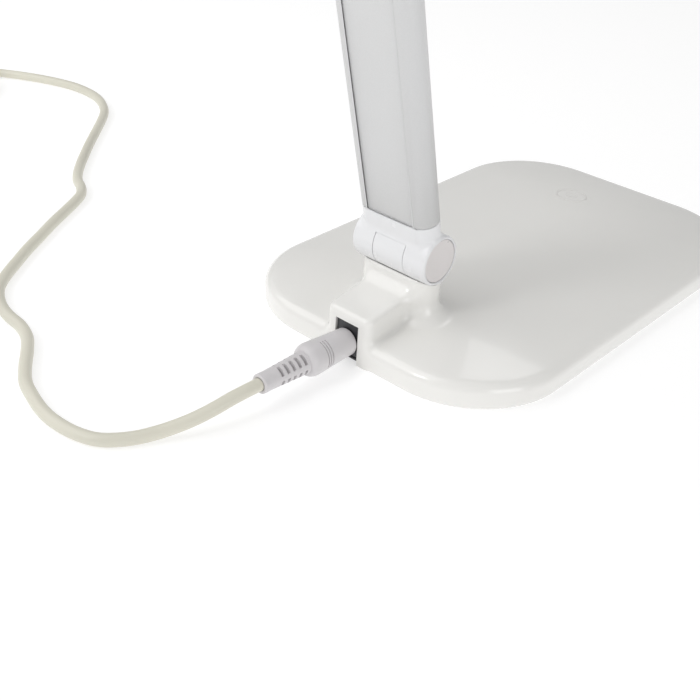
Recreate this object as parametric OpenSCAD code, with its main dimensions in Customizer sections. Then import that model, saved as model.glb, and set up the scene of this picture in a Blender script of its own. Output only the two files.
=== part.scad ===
// Folding desk lamp: a weighted base with a jack at its rear, an aluminium arm on a
// friction hinge, an LED head on a second one, and a lead with a barrel plug.
// Millimetres. +X is the user's right, -Y the user's side, +Z up.
// The origin is on the resting face, under the middle of the base.

/* [Base] */
// Width of the base
base_w = 111; // [92:1:150]
// Length of the base, front to rear
base_l = 168.6; // [150:0.1:220]
// Radius of the base's corners in plan
corner_r = 33; // [26:1:42]
// Height at which the rim starts to round over
rim_h = 5.3; // [4.8:0.1:6.4]
// Radius of the rounded rim
rim_r = 3.6; // [3:0.1:4.2]
// Rise of the crown above the rim
crown_h = 3.9; // [3.2:0.1:4.6]
// Wall of the top shell
shell_t = 2; // [1.6:0.1:2.2]
// Thickness of the foam pad under the base
pad_t = 1; // [0.6:0.1:1.4]
// Thickness of the bottom plate
plate_t = 2.4; // [1.8:0.1:2.8]
// Gap between the steel counterweight and the roof over its edge
weight_gap = 0.4; // [0.3:0.1:1.5]

/* [Jack housing and pedestal] */
// Width of the jack housing
housing_w = 17.4; // [14:0.1:24]
// Height of the housing's top at the rear face
housing_h = 17; // [16:0.1:20]
// Slope of the housing's top, down to the rear
housing_slope = 9.5; // [4:0.5:14]
// Width of the jack
jack_w = 8.9; // [8:0.1:11]
// Height of the jack
jack_h = 12.5; // [11:0.1:13]
// Depth of the jack
jack_l = 14; // [12:0.5:16]
// Depth of the pedestal, front to rear
pedestal_l = 10.4; // [9:0.1:14]

/* [Hinges] */
// Distance of the lower hinge axis behind the middle of the base
hinge_y = 59.7; // [50:0.1:62]
// Height of the lower hinge axis
hinge_z = 31.5; // [31:0.1:45]
// Radius of the knuckles
knuckle_r = 8; // [7:0.1:9]
// Length of the three knuckles of a hinge together
hinge_len = 28.8; // [26:0.1:34]
// Length of the middle knuckle
mid_len = 12; // [9:0.1:14]
// Radius of the hinge shafts
shaft_r = 2.5; // [2:0.1:3]
// Gap between knuckles that turn against each other
knuckle_gap = 0.25; // [0.2:0.05:0.6]

/* [Arm] */
// Distance between the two hinges along the arm
arm_len = 250; // [200:1:320]
// Width of the arm
arm_w = 27.6; // [25:0.1:28]
// Thickness of the arm
arm_t = 10; // [9:0.1:12]
// Lean of the arm to the rear at rest
lean = 13.9; // [0:0.1:25]
// Height of a collar above its hinge axis
collar_h = 13.2; // [12:0.1:20]
// Width of the flat panels set into the arm
panel_w = 18; // [12:0.1:19]
// Distance of the upper hinge axis in front of the arm's middle plane
head_offset = 6.2; // [6.2:0.1:9]

/* [Head] */
// Length of the head from its hinge axis to its tip
head_len = 232; // [180:1:300]
// Width of the head
head_w = 38; // [34:1:60]
// Thickness of the head
head_t = 9.5; // [9:0.1:12]
// Number of light-emitting diodes in a row
led_count = 18; // [8:1:24]

/* [Lead] */
// Diameter of the cord
cord_d = 4; // [3.4:0.1:4.2]
// Largest diameter of the barrel plug's body
plug_d = 10.5; // [9.5:0.1:12]
// Length of the barrel plug's body
plug_l = 18.8; // [18:0.1:26]
// Length of the slotted strain relief
relief_l = 17.6; // [15:0.1:22]
// Turns of the coil, in its two layers together
coil_turns = 5.25; // [4.25:1:7.25]
// Radius of the coil's outermost turn
coil_r = 28.5; // [27:0.5:34]

/* [Hidden] */
$fn = 48;

// Clearance between fixed pieces that fit into each other
fit = 0.15;
// Running clearance round a shaft
run = 0.05;
// Length that a cut runs past a face
past = 1;

// The rounded rim ends where the crown's slope begins
crown_inset = 50;
rim_angle = 81;
rim_top = rim_h + rim_r * sin(rim_angle);
rim_inset = rim_r * (1 - cos(rim_angle));
shell_z = 0.3;
plate_z = pad_t;
floor_z = pad_t + plate_t;
corner_steps = 8;

// Height of the base's outer skin, and how far it is from the edge
function skin_z(inset) = rim_top
    + crown_h * (1 - pow(1 - min(1, (inset - rim_inset) / (crown_inset - rim_inset)), 2));
function plan_r(inset, w) = max(corner_r - inset, 0.27 * w);
function base_ring(inset, z) = let (w = base_w - 2 * inset)
    [w, base_l - 2 * inset, plan_r(inset, w), z, 0];
skin_insets = [10, 18, 28, 39, crown_inset];
rim_angles = [0, 18, 36, 54, 70, rim_angle];

// Inner roof of the base above a point at this distance from the edge
function roof_z(inset) = skin_z(max(rim_inset, inset - shell_t)) - shell_t;

screw_x = base_w / 2 - 12;
screw_y = base_l / 2 - 20;
screw_places = [[screw_x, screw_y], [-screw_x, screw_y], [screw_x, 0],
    [-screw_x, 0], [screw_x, -screw_y], [-screw_x, -screw_y]];
boss_r = 3;
pad_edge = 8;
hollow_step = 1.4;
screw_r = 1.2;
screw_head_r = 2.7;
screw_head_h = 1.3;

// The steel weight keeps clear of the bosses and of the board at the front
weight_w = base_w - 34;
weight_t = roof_z((base_w - weight_w) / 2) - weight_gap - floor_z;
weight_l = base_l / 2 - 2;
weight_y = -1;
board_w = 44;
board_l = 26;
board_y = weight_y - weight_l / 2 - board_l / 2 - 3;
board_t = 1.6;
board_seat = 1.4;
board_top = floor_z + board_seat + board_t;
touch_x = 7;
touch_y = -51;
touch_r = 6;
touch_roof = roof_z(min(base_w / 2 - touch_x, base_l / 2 + touch_y) - touch_r);
wire_x = -2.5;
wire_r = 0.9;

// Jack and pedestal
jack_y = base_l / 2 - 0.7;
jack_z = 1.4;
plug_z = 7.2;
bore_r = 3.2;
barrel_r = 2.75;
jack_pin_r = 1.05;
bore_l = 10;
barrel_l = 9.5;
pedestal_w = hinge_len - 0.8;
pedestal_top = hinge_z - knuckle_r + 1.1;
// Rings of the pedestal's flare: how far it stands out, and at what height
flare = [[6.5, 9.9], [4.6, 11.4], [3.1, 12.1], [1.9, 13], [1, 14.2], [0.35, 15.9], [0, 18.2]];
// Rounding of the housing's edges, and its length from the hinge axis to the rear
housing_r = 2.6;
housing_l = base_l / 2 - hinge_y;
cradle_r = knuckle_r + 0.35;
tongue_w = 9.6;
tongue_t = 5;
tongue_z = 12;
// Flat seat of the barrel's screw, cut into the roof of the base
seat_z = roof_z(base_l / 2 - hinge_y) + 0.3;

// Hinge hardware, the same at both ends of the arm
washer_r = 5.7;
washer_t = 0.9;
washer_seat = 1;
nut_r = 4.6;
nut_t = 2.4;
cap_r = 6.85;
cap_t = 0.8;
cap_sunk = 0.25;
cap_x = hinge_len / 2 - cap_sunk;
nut_x = cap_x - cap_t - nut_t - fit;
knuckle_edge = 0.8;

// Arm profile
recess_w = panel_w + 2 * fit;
panel_t = 0.7;
recess_y = arm_t / 2 - 1.7;
cavity_t = 2 * (recess_y - 0.9);
cavity_w = arm_w - 6.6;
spigot_l = 20;
spigot_gap = 6;
profile_start = collar_h;
profile_len = arm_len - 2 * collar_h;
arm_screw_x = 6.6;
arm_screw_z = [collar_h + spigot_l / 2, arm_len - collar_h - spigot_l / 2];
arm_screw_head = 2.2;
// Bracket from the collar up to the hinge: share of the extra width, front, rear, height
bracket_shape = [[0, -arm_t / 2, arm_t / 2, -collar_h],
    [0, -arm_t / 2, arm_t / 2, -1.2 * knuckle_r],
    [0.3, 0.6 - head_offset, arm_t / 2, -1.09 * knuckle_r],
    [0.6, -head_offset - 0.18 * knuckle_r, arm_t / 2 - 0.3, -0.81 * knuckle_r],
    [1, -head_offset - 0.48 * knuckle_r, arm_t / 2 - 1.1, -0.44 * knuckle_r],
    [1, -head_offset - 0.65 * knuckle_r, 0.9 * knuckle_r - head_offset, 0]];

// Head
head_start = knuckle_r + 1;
head_wall = 1.6;
head_axis = [0, hinge_y + arm_len * sin(lean) - head_offset * cos(lean),
    hinge_z + arm_len * cos(lean) + head_offset * sin(lean)];
head_mid = -(head_start + head_len) / 2;
head_long = head_len - head_start;
ceiling_z = head_t - 2;
head_r = 7;
head_edge = 3.4;
inner_w = head_w - 2 * head_wall - 2 * fit;
neck_w = mid_len - knuckle_gap;
tongue_h = 3.5;
head_screw_y = [-16, -28];
neck_l = 34;
light_start = -(neck_l + 3);
light_long = head_len - neck_l - 9;
light_mid = light_start - light_long / 2;
led_board_w = head_w - 2 * head_wall - 5;
led_pitch = (light_long - 8) / led_count;
diffuser_t = 2;
diffuser_z = 0.4;
reflector_z = diffuser_z + diffuser_t + fit;
led_z = ceiling_z - 1.2 - 0.8 - 2 * run;

// Plug and strain relief, on the jack's axis
plug_face = jack_y + 0.5;
relief_start = plug_face + plug_l;
relief_end = relief_start + relief_l;
// The plug sits in the jack with a slight upward tilt, in degrees
plug_tilt = 1.7;
function plug_at(y) = [0, jack_y + (y - jack_y) * cos(plug_tilt),
    plug_z + (y - jack_y) * sin(plug_tilt)];
cord_r = cord_d / 2;
// The plug's body is narrower at the jack, by this much on the diameter
plug_taper = 1.7;
groove_start = 10.6;
groove_pitch = 1;
groove_w = 0.4;
groove_span = 38;
groove_turn = 30;
shoulder_l = 3.2;
relief_r = 3.6;
relief_taper = 0.6;
slot_start = 1.2;
slot_pitch = 2.27;
slot_w = 1;
web_w = 1.7;
web_turn = 9;

// Route of the cord on the table, from the strain relief to the coil
cord_route = [
    plug_at(relief_end), plug_at(relief_end + 5), [0.8, 130.3, 7.7],
    [1.7, 134.9, 6.6], [3.2, 139.3, 5.2], [5.1, 143.8, 3.9], [7.9, 149.6, 2.6],
    [11.4, 156.5, 2], [16.7, 163.1, 2], [23.7, 166.1, 2], [31.7, 167.1, 2],
    [38.7, 166.6, 2], [46.8, 164.6, 2], [53.8, 162.1, 2], [60.8, 157.6, 2],
    [67.3, 152.7, 2], [73.9, 148.5, 2], [80.9, 146.3, 2], [87.9, 145.7, 2],
    [94.4, 144.3, 2], [100.9, 141.5, 2], [107, 137.3, 2], [112.5, 131, 2],
    [118, 123.4, 2], [123, 116.4, 2], [129, 106.9, 2], [135.1, 97.4, 2],
    [140.1, 88.8, 2], [144.6, 81.3, 2], [148.6, 75.8, 2], [154.1, 71.8, 2],
    [160.1, 69.1, 2], [166.2, 64.7, 2], [173.2, 58.4, 2], [180.2, 51.5, 2],
    [187.2, 44.4, 2], [194.3, 36.9, 2], [201.3, 29.4, 2], [208.3, 22.1, 2],
    [215.3, 15.6, 2], [223.4, 10.6, 2], [232.4, 7, 2], [241.3, 5.7, 2],
    [251.3, 5.9, 2], [261.3, 8.1, 2], [270.8, 11.7, 2.1], [279.8, 16.1, 2.2],
    [288.3, 21.5, 2.4], [296.3, 27.6, 2.6], [304.3, 34.1, 2.8], [308.3, 38.1, 2.8]];

// Coil: two layers, spiralling in on the table and out again on top of that
coil_gap = 0.45;
coil_lift = 0.8;
coil_pitch = cord_d + coil_gap;
coil_steps = 24;
coil_low = cord_r + coil_lift;
coil_high = coil_low + cord_d + coil_gap;
coil_entry = cord_route[len(cord_route) - 1];
// Heading of the cord where it enters the coil, in degrees
coil_heading = 45;
coil_start = coil_heading - 90;
coil_centre = [coil_entry[0] + cord_d * cos(coil_heading) - coil_r * cos(coil_start),
    coil_entry[1] + cord_d * sin(coil_heading) - coil_r * sin(coil_start)];
coil_half = coil_turns / 2;
climb = 0.25;
function smooth(t) = t <= 0 ? 0 : t >= 1 ? 1 : t * t * (3 - 2 * t);
function coil_point(t) = let (a = coil_start + 360 * t,
    r = coil_r - coil_pitch * min(t, coil_turns - t))
    [coil_centre[0] + r * cos(a), coil_centre[1] + r * sin(a),
        coil_low + (coil_high - coil_low) * smooth((t - coil_half + climb) / (2 * climb))];

// Tail of the cord, off the top of the coil and down to the far plug
usb_z = 4.2;
tail_heading = coil_start + 360 * coil_turns + 90;
tail_from = coil_point(coil_turns);
tail_level = 13;
tail_drop = 18;
tail_len = tail_level + tail_drop + 2 * cord_d;
function tail_point(s) = [tail_from[0] + s * cos(tail_heading),
    tail_from[1] + s * sin(tail_heading),
    coil_high + (usb_z - coil_high) * smooth((s - tail_level) / tail_drop)];
coil_path = concat([coil_entry],
    [for (k = [0:coil_turns * coil_steps]) coil_point(k / coil_steps)],
    [for (s = [5:4.5:tail_len - cord_d]) tail_point(s)],
    [tail_point(tail_len)]);
usb_start = tail_point(tail_len);
usb_relief_l = 9;
usb_body_w = 15.6;
usb_body_l = 23;
usb_shell_w = 12;
usb_shell_t = 4.5;
usb_shell_l = 12;
usb_wall = 0.4;

// Tie round the strands where they lie level in both layers
tie_t = 0.5;
tie_l = 6;
tie_gap = 0.3;
tie_in = coil_r - coil_pitch * (floor(coil_half - climb) + 0.125) - cord_r - tie_gap;
tie_out = coil_r - coil_pitch * 0.125 + cord_r + tie_gap;
tie_top = coil_high + cord_r + tie_gap;

// Shortest distance between strands of the coil that lie over half a turn apart
coil_least = min([for (i = [0:len(coil_path) - 1])
    for (j = [i + coil_steps / 2:1:len(coil_path) - 1])
        norm(coil_path[i] - coil_path[j])]) - cord_d;
function run_length(p, i = 1) = i >= len(p) ? 0 : norm(p[i] - p[i - 1]) + run_length(p, i + 1);
echo(coil_least_gap = coil_least);
echo(free_cord = run_length(cord_route), coiled_cord = run_length(coil_path));

// Points of a rounded rectangle: one ring of a loft, [width, length, radius, z, y]
function ring(g) = [for (q = [0:3]) for (k = [0:corner_steps])
    let (a = 90 * q + 90 * k / corner_steps,
        cx = (q == 0 || q == 3 ? 1 : -1) * (g[0] / 2 - g[2]),
        cy = (q < 2 ? 1 : -1) * (g[1] / 2 - g[2]))
    [cx + g[2] * cos(a), g[4] + cy + g[2] * sin(a), g[3]]];

// Skin over a stack of closed rings of m points each
module skin(points, m) {
    count = len(points) / m;
    lid = [for (k = [m - 1:-1:0]) (count - 1) * m + k];
    sides = [for (j = [0:count - 2]) for (k = [0:m - 1])
        let (a = j * m + k, b = j * m + (k + 1) % m)
        each [[a, a + m, b + m], [a, b + m, b]]];
    polyhedron(points, concat([[for (k = [0:m - 1]) k]], [lid], sides));
}

// Solid through rounded rectangles, the lowest first
module loft(rings) {
    skin([for (g = rings) each ring(g)], 4 * (corner_steps + 1));
}

function unit(v) = v / norm(v);
function heading(p, i) = unit(p[min(i + 1, len(p) - 1)] - p[max(i - 1, 0)]);
function tube_ring(p, i, r, sides) = let (t = heading(p, i),
    u = unit(cross(t, [0, 0, 1])), v = cross(u, t))
    [for (k = [0:sides - 1]) p[i] + r * (u * sin(360 * k / sides) - v * cos(360 * k / sides))];

// Round tube along a path, with a corner of each ring straight below the path
module tube(p, r, sides) {
    skin([for (i = [0:len(p) - 1]) each tube_ring(p, i, r, sides)], sides);
}

// Rounded rectangle as an exact outline
module plan(w, l, r) {
    square([w - 2 * r, l], center = true);
    square([w, l - 2 * r], center = true);
    for (x = [-1, 1])
        for (y = [-1, 1])
            translate([x * (w / 2 - r), y * (l / 2 - r)]) circle(r);
}

// Flat plate with rounded corners, from z up
module plate(w, l, r, z, t) {
    translate([0, 0, z]) linear_extrude(t) plan(w, l, r);
}

// Cylinder along X from x0 to x1
module bar_x(r, x0, x1) {
    translate([x0, 0, 0]) rotate([0, 90, 0]) cylinder(r = r, h = x1 - x0);
}

// Block with X and Y centred, from z0 to z1
module block(w, l, z0, z1) {
    translate([-w / 2, -l / 2, z0]) cube([w, l, z1 - z0]);
}

// Frame of the lower hinge axis on the base
module on_hinge() {
    translate([0, hinge_y, hinge_z]) children();
}

// Frame of the arm at rest: the lower hinge axis, with Z along the arm
module in_arm() {
    on_hinge() rotate([-lean, 0, 0]) children();
}

// Frame of the upper hinge on the arm
module in_arm_top() {
    in_arm() translate([0, -head_offset, arm_len]) children();
}

// Frame of the head at rest: the upper hinge axis, with the head towards -Y
module in_head() {
    translate(head_axis) children();
}

// The part of a hinge at +X, and its mirror image
module both_ends() {
    for (side = [0, 1])
        mirror([side, 0, 0]) children();
}

// Frame of the jack's axis, with Z out of the jack
module on_jack_axis(y) {
    translate([0, y, plug_z]) rotate([-90, 0, 0]) children();
}

// Frame of the plug's axis, with Z away from the jack
module on_plug_axis(y) {
    translate(plug_at(y)) rotate([plug_tilt - 90, 0, 0]) children();
}

// Frame of the far plug, with X away from the cord
module on_usb(x) {
    translate(usb_start) rotate([0, 0, tail_heading]) translate([x, 0, 0]) children();
}

// One knuckle along +X, its outer edge rounded
module knuckle(x0, x1, edge) {
    translate([x0, 0, 0]) rotate([0, 90, 0]) rotate_extrude() {
        square([knuckle_r - edge, x1 - x0]);
        square([knuckle_r, x1 - x0 - edge]);
        translate([knuckle_r - edge, x1 - x0 - edge]) circle(edge);
    }
}

// Two outer knuckles on a collar, with their bore and the recesses for nut and cap
module hinge_fork() {
    inner = (mid_len + knuckle_gap) / 2;
    difference() {
        union() {
            both_ends() knuckle(inner, hinge_len / 2, knuckle_edge);
            children();
        }
        bar_x(shaft_r + run, -hinge_len, hinge_len);
        bar_x(knuckle_r + knuckle_gap, -inner, inner);
        both_ends() {
            bar_x(nut_r + 0.6, nut_x, hinge_len);
            bar_x(cap_r + 0.1, cap_x - cap_t, hinge_len);
        }
    }
}

// Middle knuckle with its bore and a seat for a friction washer in each face
module middle_knuckle() {
    difference() {
        union() {
            bar_x(knuckle_r, -neck_w / 2, neck_w / 2);
            children();
        }
        bar_x(shaft_r + run, -hinge_len, hinge_len);
        both_ends() bar_x(washer_r + 0.1, neck_w / 2 - washer_seat, hinge_len);
    }
}

module friction_washers() {
    start = neck_w / 2 - washer_seat + run;
    both_ends() difference() {
        bar_x(washer_r, start, start + washer_t);
        bar_x(shaft_r + 2 * run, 0, hinge_len);
    }
}

module hinge_shaft() {
    bar_x(shaft_r, -(nut_x + nut_t + fit), nut_x + nut_t + fit);
}

// Nuts with six flats, threaded on the shaft's ends
module hinge_nuts() {
    both_ends() difference() {
        translate([nut_x + run, 0, 0]) rotate([0, 90, 0])
            cylinder(r = nut_r, h = nut_t, $fn = 6);
        bar_x(shaft_r + run, 0, hinge_len);
    }
}

// End caps, set a little below the rim of the knuckle
module hinge_caps() {
    both_ends() bar_x(cap_r, cap_x - cap_t + run, cap_x);
}

// Outer skin of the base, with its rounded rim and crowned top
module base_form() {
    loft(concat([base_ring(1, shell_z), base_ring(0.2, shell_z + 0.9),
            base_ring(0, shell_z + 1.8)],
        [for (a = rim_angles) base_ring(rim_r * (1 - cos(a)), rim_h + rim_r * sin(a))],
        [for (i = skin_insets) base_ring(i, skin_z(i))]));
}

// Hollow of the base, one wall inside its outer skin
module base_hollow() {
    loft(concat([base_ring(shell_t, shell_z - past)],
        [for (a = rim_angles) base_ring(shell_t + (rim_r - shell_t / 2) * (1 - cos(a)),
            rim_h - shell_t + rim_r * sin(a))],
        [for (i = skin_insets) base_ring(i + hollow_step, skin_z(i) - shell_t)]));
}

// Pedestal under the hinge, flaring into the base and cut to the knuckles
module pedestal() {
    on_hinge() difference() {
        loft([for (g = concat(flare, [[0, pedestal_top]]))
            [pedestal_w + 2 * g[0], pedestal_l + 2 * g[0],
                pedestal_l / 2 - 0.1 + g[0], g[1] - hinge_z, 0]]);
        bar_x(cradle_r, -hinge_len, hinge_len);
    }
}

// Side view of the jack housing: the top slopes down to a rounded rear edge
module housing_side() {
    slope_y = housing_l - housing_r;
    slope_z = housing_h + housing_r * (tan(housing_slope) - 1 / cos(housing_slope));
    polygon(concat([[-past, shell_z - past], [housing_l, shell_z - past]],
        [for (k = [0:5]) let (a = k * (90 - housing_slope) / 5)
            [slope_y + housing_r * cos(a), slope_z + housing_r * sin(a)]],
        [[-past, housing_h + (housing_l + past) * tan(housing_slope)]]));
}

// Outline of the jack housing across the lamp, its upper edges rounded
module housing_outline() {
    translate([-housing_w / 2, -housing_h])
        square([housing_w, housing_h - housing_r]);
    translate([-housing_w / 2 + housing_r, -housing_h])
        square([housing_w - 2 * housing_r, housing_h]);
    for (x = [-1, 1])
        translate([x * (housing_w / 2 - housing_r), -housing_r]) circle(housing_r);
}

// Housing of the jack, its rounded top sloping down to the rear face
module jack_housing() {
    intersection() {
        translate([0, base_l / 2, housing_h]) rotate([90 - housing_slope, 0, 0])
            translate([0, 0, -2 * housing_r]) linear_extrude(housing_l + 3 * housing_r)
                housing_outline();
        translate([-housing_w, hinge_y, 0])
            rotate([90, 0, 90]) linear_extrude(2 * housing_w) housing_side();
        translate([0, base_l / 2 - housing_l / 2, shell_z])
            linear_extrude(hinge_z) plan(housing_w, housing_l, housing_r);
        union() {
            translate([0, hinge_y, 0]) block(base_w, base_l, flare[0][1], 2 * hinge_z);
            translate([0, base_l / 2, 0]) block(2 * housing_w, 2 * shell_t, -past, hinge_z);
        }
    }
}

module screw_bosses() {
    difference() {
        for (p = screw_places)
            translate([p[0], p[1], floor_z])
                cylinder(r = boss_r, h = rim_top - 0.7 - floor_z);
        for (p = screw_places)
            translate([p[0], p[1], 0]) cylinder(r = screw_r + 0.1, h = floor_z + 3.2);
    }
}

// Domed top of the base, moulded in one with the pedestal and the jack housing
module base_top_shell() {
    color("ivory") difference() {
        union() {
            difference() {
                base_form();
                base_hollow();
            }
            screw_bosses();
            pedestal();
            jack_housing();
        }
        // Room for the jack, open below and at the rear
        translate([-jack_w / 2 - fit, jack_y - jack_l - fit, shell_z - past])
            cube([jack_w + 2 * fit, jack_l + 2 * past, jack_z + jack_h + fit - shell_z + past]);
        // Slot for the barrel's tongue, and the hole of its screw
        translate([0, hinge_y, 0]) {
            block(tongue_w + 2 * fit, tongue_t + 2 * fit, tongue_z - fit, hinge_z);
            cylinder(r = screw_r + 0.4, h = hinge_z);
            cylinder(r = screw_head_r + fit, h = seat_z);
        }
    }
}

// Plate that closes the base, with seats for the board and a notch for the jack
module base_bottom_plate() {
    edge = shell_t + 0.25;
    color("whitesmoke") difference() {
        union() {
            plate(base_w - 2 * edge, base_l - 2 * edge, plan_r(edge, base_w - 2 * edge),
                plate_z, plate_t);
            for (x = [-1, 1])
                for (y = [-1, 1])
                    translate([x * (board_w / 2 - 3), board_y + y * (board_l / 2 - 3), floor_z])
                        cylinder(r = 2, h = board_seat);
        }
        for (p = screw_places)
            translate([p[0], p[1], 0]) {
                cylinder(r = screw_r + 0.3, h = floor_z + past);
                cylinder(r = screw_head_r + fit, h = plate_z + screw_head_h);
            }
        translate([0, base_l / 2, 0])
            block(jack_w + 4 * fit, 2 * (base_l / 2 - jack_y + jack_l + 2 * fit), 0, floor_z + past);
    }
}

module base_pad() {
    color("dimgray")
        plate(base_w - 2 * pad_edge, base_l - 4 * pad_edge, corner_r - pad_edge, 0, pad_t);
}

module base_screws() {
    head_z = plate_z + run;
    color("silver") for (p = screw_places)
        translate([p[0], p[1], head_z]) {
            cylinder(r = screw_head_r, h = screw_head_h - 2 * run);
            cylinder(r = screw_r, h = floor_z + 3 - head_z);
        }
}

module counterweight() {
    color("slategray") translate([0, weight_y, 0])
        plate(weight_w, weight_l, 8, floor_z, weight_t);
}

module control_board() {
    color("seagreen") translate([0, board_y, 0]) {
        plate(board_w, board_l, 1.5, floor_z + board_seat, board_t);
        translate([-12, -6, 0]) block(6, 4, board_top, board_top + 0.9);
        translate([13, -6, 0]) block(5, 6, board_top, board_top + 0.9);
    }
}

// Sprung electrode that presses against the inside of the shell
module touch_sensor() {
    top = touch_roof - 0.3;
    color("goldenrod") translate([touch_x, touch_y, 0]) {
        translate([0, 0, board_top]) cylinder(r = 2.6, h = top - board_top);
        translate([0, 0, top - 0.8]) cylinder(r = touch_r, h = 0.8);
    }
}

// Two wires from the jack, over the weight to the control board
module base_wires() {
    over = floor_z + weight_t + wire_r + 0.1;
    low = floor_z + wire_r + 0.3;
    weight_rear = weight_y + weight_l / 2;
    weight_front = weight_y - weight_l / 2;
    color("firebrick") for (x = [wire_x - wire_r - fit, wire_x + wire_r + fit])
        tube([[x, jack_y - jack_l - 0.3, low], [x, weight_rear + 14, low],
            [x, weight_rear + 10, low], [x, weight_rear + 6, (low + over) / 2],
            [x, weight_rear + 2, over], [x, weight_y, over],
            [x, weight_front - 0.5, over], [x, weight_front - 4, board_top + wire_r + 0.4]],
            wire_r, 8);
}

// Jack in a square black housing, with a round bore for the plug
module dc_jack() {
    color("black") difference() {
        translate([-jack_w / 2, jack_y - jack_l, jack_z]) cube([jack_w, jack_l, jack_h]);
        on_jack_axis(jack_y - bore_l) cylinder(r = bore_r, h = bore_l + past);
        translate([0, jack_y, 0]) block(jack_w - 1.2, 0.8, jack_z + 0.7, jack_z + 1.5);
    }
}

module jack_pin() {
    color("silver") on_jack_axis(jack_y - bore_l) cylinder(r = jack_pin_r, h = bore_l - 1);
}

// Middle knuckle of the lower hinge, on a tongue that goes down into the pedestal
module hinge_barrel() {
    color("ivory") difference() {
        on_hinge() middle_knuckle()
            block(tongue_w, tongue_t, tongue_z - hinge_z, -shaft_r);
        translate([0, hinge_y, 0]) cylinder(r = screw_r + 0.1, h = tongue_z + 8.5);
    }
}

module hinge_screw() {
    head_h = 1.8;
    color("silver") translate([0, hinge_y, seat_z - head_h - run]) {
        cylinder(r = screw_head_r, h = head_h);
        cylinder(r = screw_r, h = tongue_z + 8 - seat_z + head_h);
    }
}

module lower_washers() {
    color("silver") on_hinge() friction_washers();
}

module lower_shaft() {
    color("silver") in_arm() hinge_shaft();
}

module lower_nuts() {
    color("silver") in_arm() hinge_nuts();
}

module lower_caps() {
    color("lightgray") in_arm() hinge_caps();
}

// Two legs that fit into the profile from z up, with room for wires between
module spigot(z) {
    leg_w = (cavity_w - spigot_gap) / 2 - fit;
    both_ends() translate([spigot_gap / 2 + leg_w / 2, 0, 0])
        block(leg_w, cavity_t - 2 * fit, z, z + spigot_l);
}

// Pilot holes or shanks of the screws that hold a spigot, at height z
module spigot_holes(z, r, depth) {
    for (x = [-1, 1] * arm_screw_x)
        translate([x, -recess_y, z]) rotate([-90, 0, 0]) cylinder(r = r, h = depth);
}

// Collar of the lower hinge, white, with both outer knuckles
module arm_collar() {
    color("white") in_arm() difference() {
        hinge_fork() {
            plate(arm_w, arm_t, arm_t / 2 - 0.05, 0, collar_h);
            spigot(collar_h - past / 2);
        }
        block(spigot_gap - 1, cavity_t - 2 * fit, knuckle_r - 3, collar_h + past);
        spigot_holes(collar_h + spigot_l / 2, screw_r + 0.1, arm_t);
    }
}

// Extruded arm with rounded sides and a recess for a panel in front and rear
module arm_profile() {
    color("silver") in_arm() difference() {
        plate(arm_w, arm_t, arm_t / 2 - 0.05, profile_start, profile_len);
        plate(cavity_w, cavity_t, 2 * fit, profile_start - past, profile_len + 2 * past);
        for (y = [-1, 1])
            translate([0, y * (recess_y + arm_t / 2), 0])
                block(recess_w, arm_t, profile_start - past, profile_start + profile_len + past);
        for (z = arm_screw_z) {
            spigot_holes(z, screw_r + 0.1, arm_t / 2);
            spigot_holes(z, arm_screw_head + 0.1, 0.6);
        }
    }
}

// Flat strip that closes a recess of the arm
module arm_panel(side) {
    in_arm() translate([0, side * (recess_y + panel_t / 2 + run), 0])
        block(panel_w, panel_t, profile_start, profile_start + profile_len);
}

module arm_rear_panel() {
    color("gainsboro") arm_panel(1);
}

module arm_front_panel() {
    color("gainsboro") arm_panel(-1);
}

// Flat-headed screws through the profile's front wall into the spigots
module arm_screws() {
    color("silver") in_arm() for (z = arm_screw_z)
        for (x = [-1, 1] * arm_screw_x)
            translate([x, -recess_y + run, z]) rotate([-90, 0, 0]) {
                cylinder(r = arm_screw_head, h = 0.5);
                cylinder(r = screw_r, h = cavity_t - 0.4);
            }
}

// Two wires to the head, along the front wall of the profile's cavity
module arm_wires() {
    color("firebrick") in_arm() for (x = [-1, 1] * (wire_r + fit))
        translate([x, wire_r + fit - cavity_t / 2, knuckle_r + 1])
            cylinder(r = wire_r, h = arm_len - 2 * knuckle_r - 2);
}

// Bracket at the top of the arm, carrying the upper hinge in front of the arm
module head_bracket() {
    rings = [for (g = bracket_shape)
        [arm_w + (hinge_len - arm_w) * g[0], g[2] - g[1],
            min(arm_t / 2 + 0.2, (g[2] - g[1]) / 2 - 0.05), g[3],
            (g[1] + g[2]) / 2 + head_offset]];
    color("white") in_arm_top() difference() {
        hinge_fork() {
            loft(rings);
            translate([0, head_offset, 0]) spigot(past / 2 - collar_h - spigot_l);
        }
        translate([0, head_offset, 0]) {
            block(spigot_gap - 1, cavity_t - 2 * fit, -collar_h - past, 3 - knuckle_r);
            spigot_holes(-collar_h - spigot_l / 2, screw_r + 0.1, arm_t);
        }
    }
}

module upper_shaft() {
    color("silver") in_arm_top() hinge_shaft();
}

module upper_nuts() {
    color("silver") in_arm_top() hinge_nuts();
}

module upper_caps() {
    color("lightgray") in_arm_top() hinge_caps();
}

// Middle knuckle of the upper hinge, with its neck and the tongue in the head
module head_barrel() {
    neck_end = head_start - 0.4;
    color("white") in_head() difference() {
        middle_knuckle() {
            translate([0, -neck_end / 2, 0]) block(neck_w, neck_end, 0.6, ceiling_z - 0.1);
            translate([0, -neck_l / 2, 0])
                block(neck_w - 1, neck_l, ceiling_z - tongue_h, ceiling_z - run);
        }
        for (y = head_screw_y)
            translate([0, y, 0]) cylinder(r = screw_r + 0.1, h = head_t);
    }
}

module upper_washers() {
    color("silver") in_head() friction_washers();
}

module head_screws() {
    color("silver") in_head() for (y = head_screw_y)
        translate([0, y, ceiling_z - tongue_h - 1.2 - run]) {
            cylinder(r = 2.1, h = 1.2);
            cylinder(r = screw_r, h = tongue_h + 2);
        }
}

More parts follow.
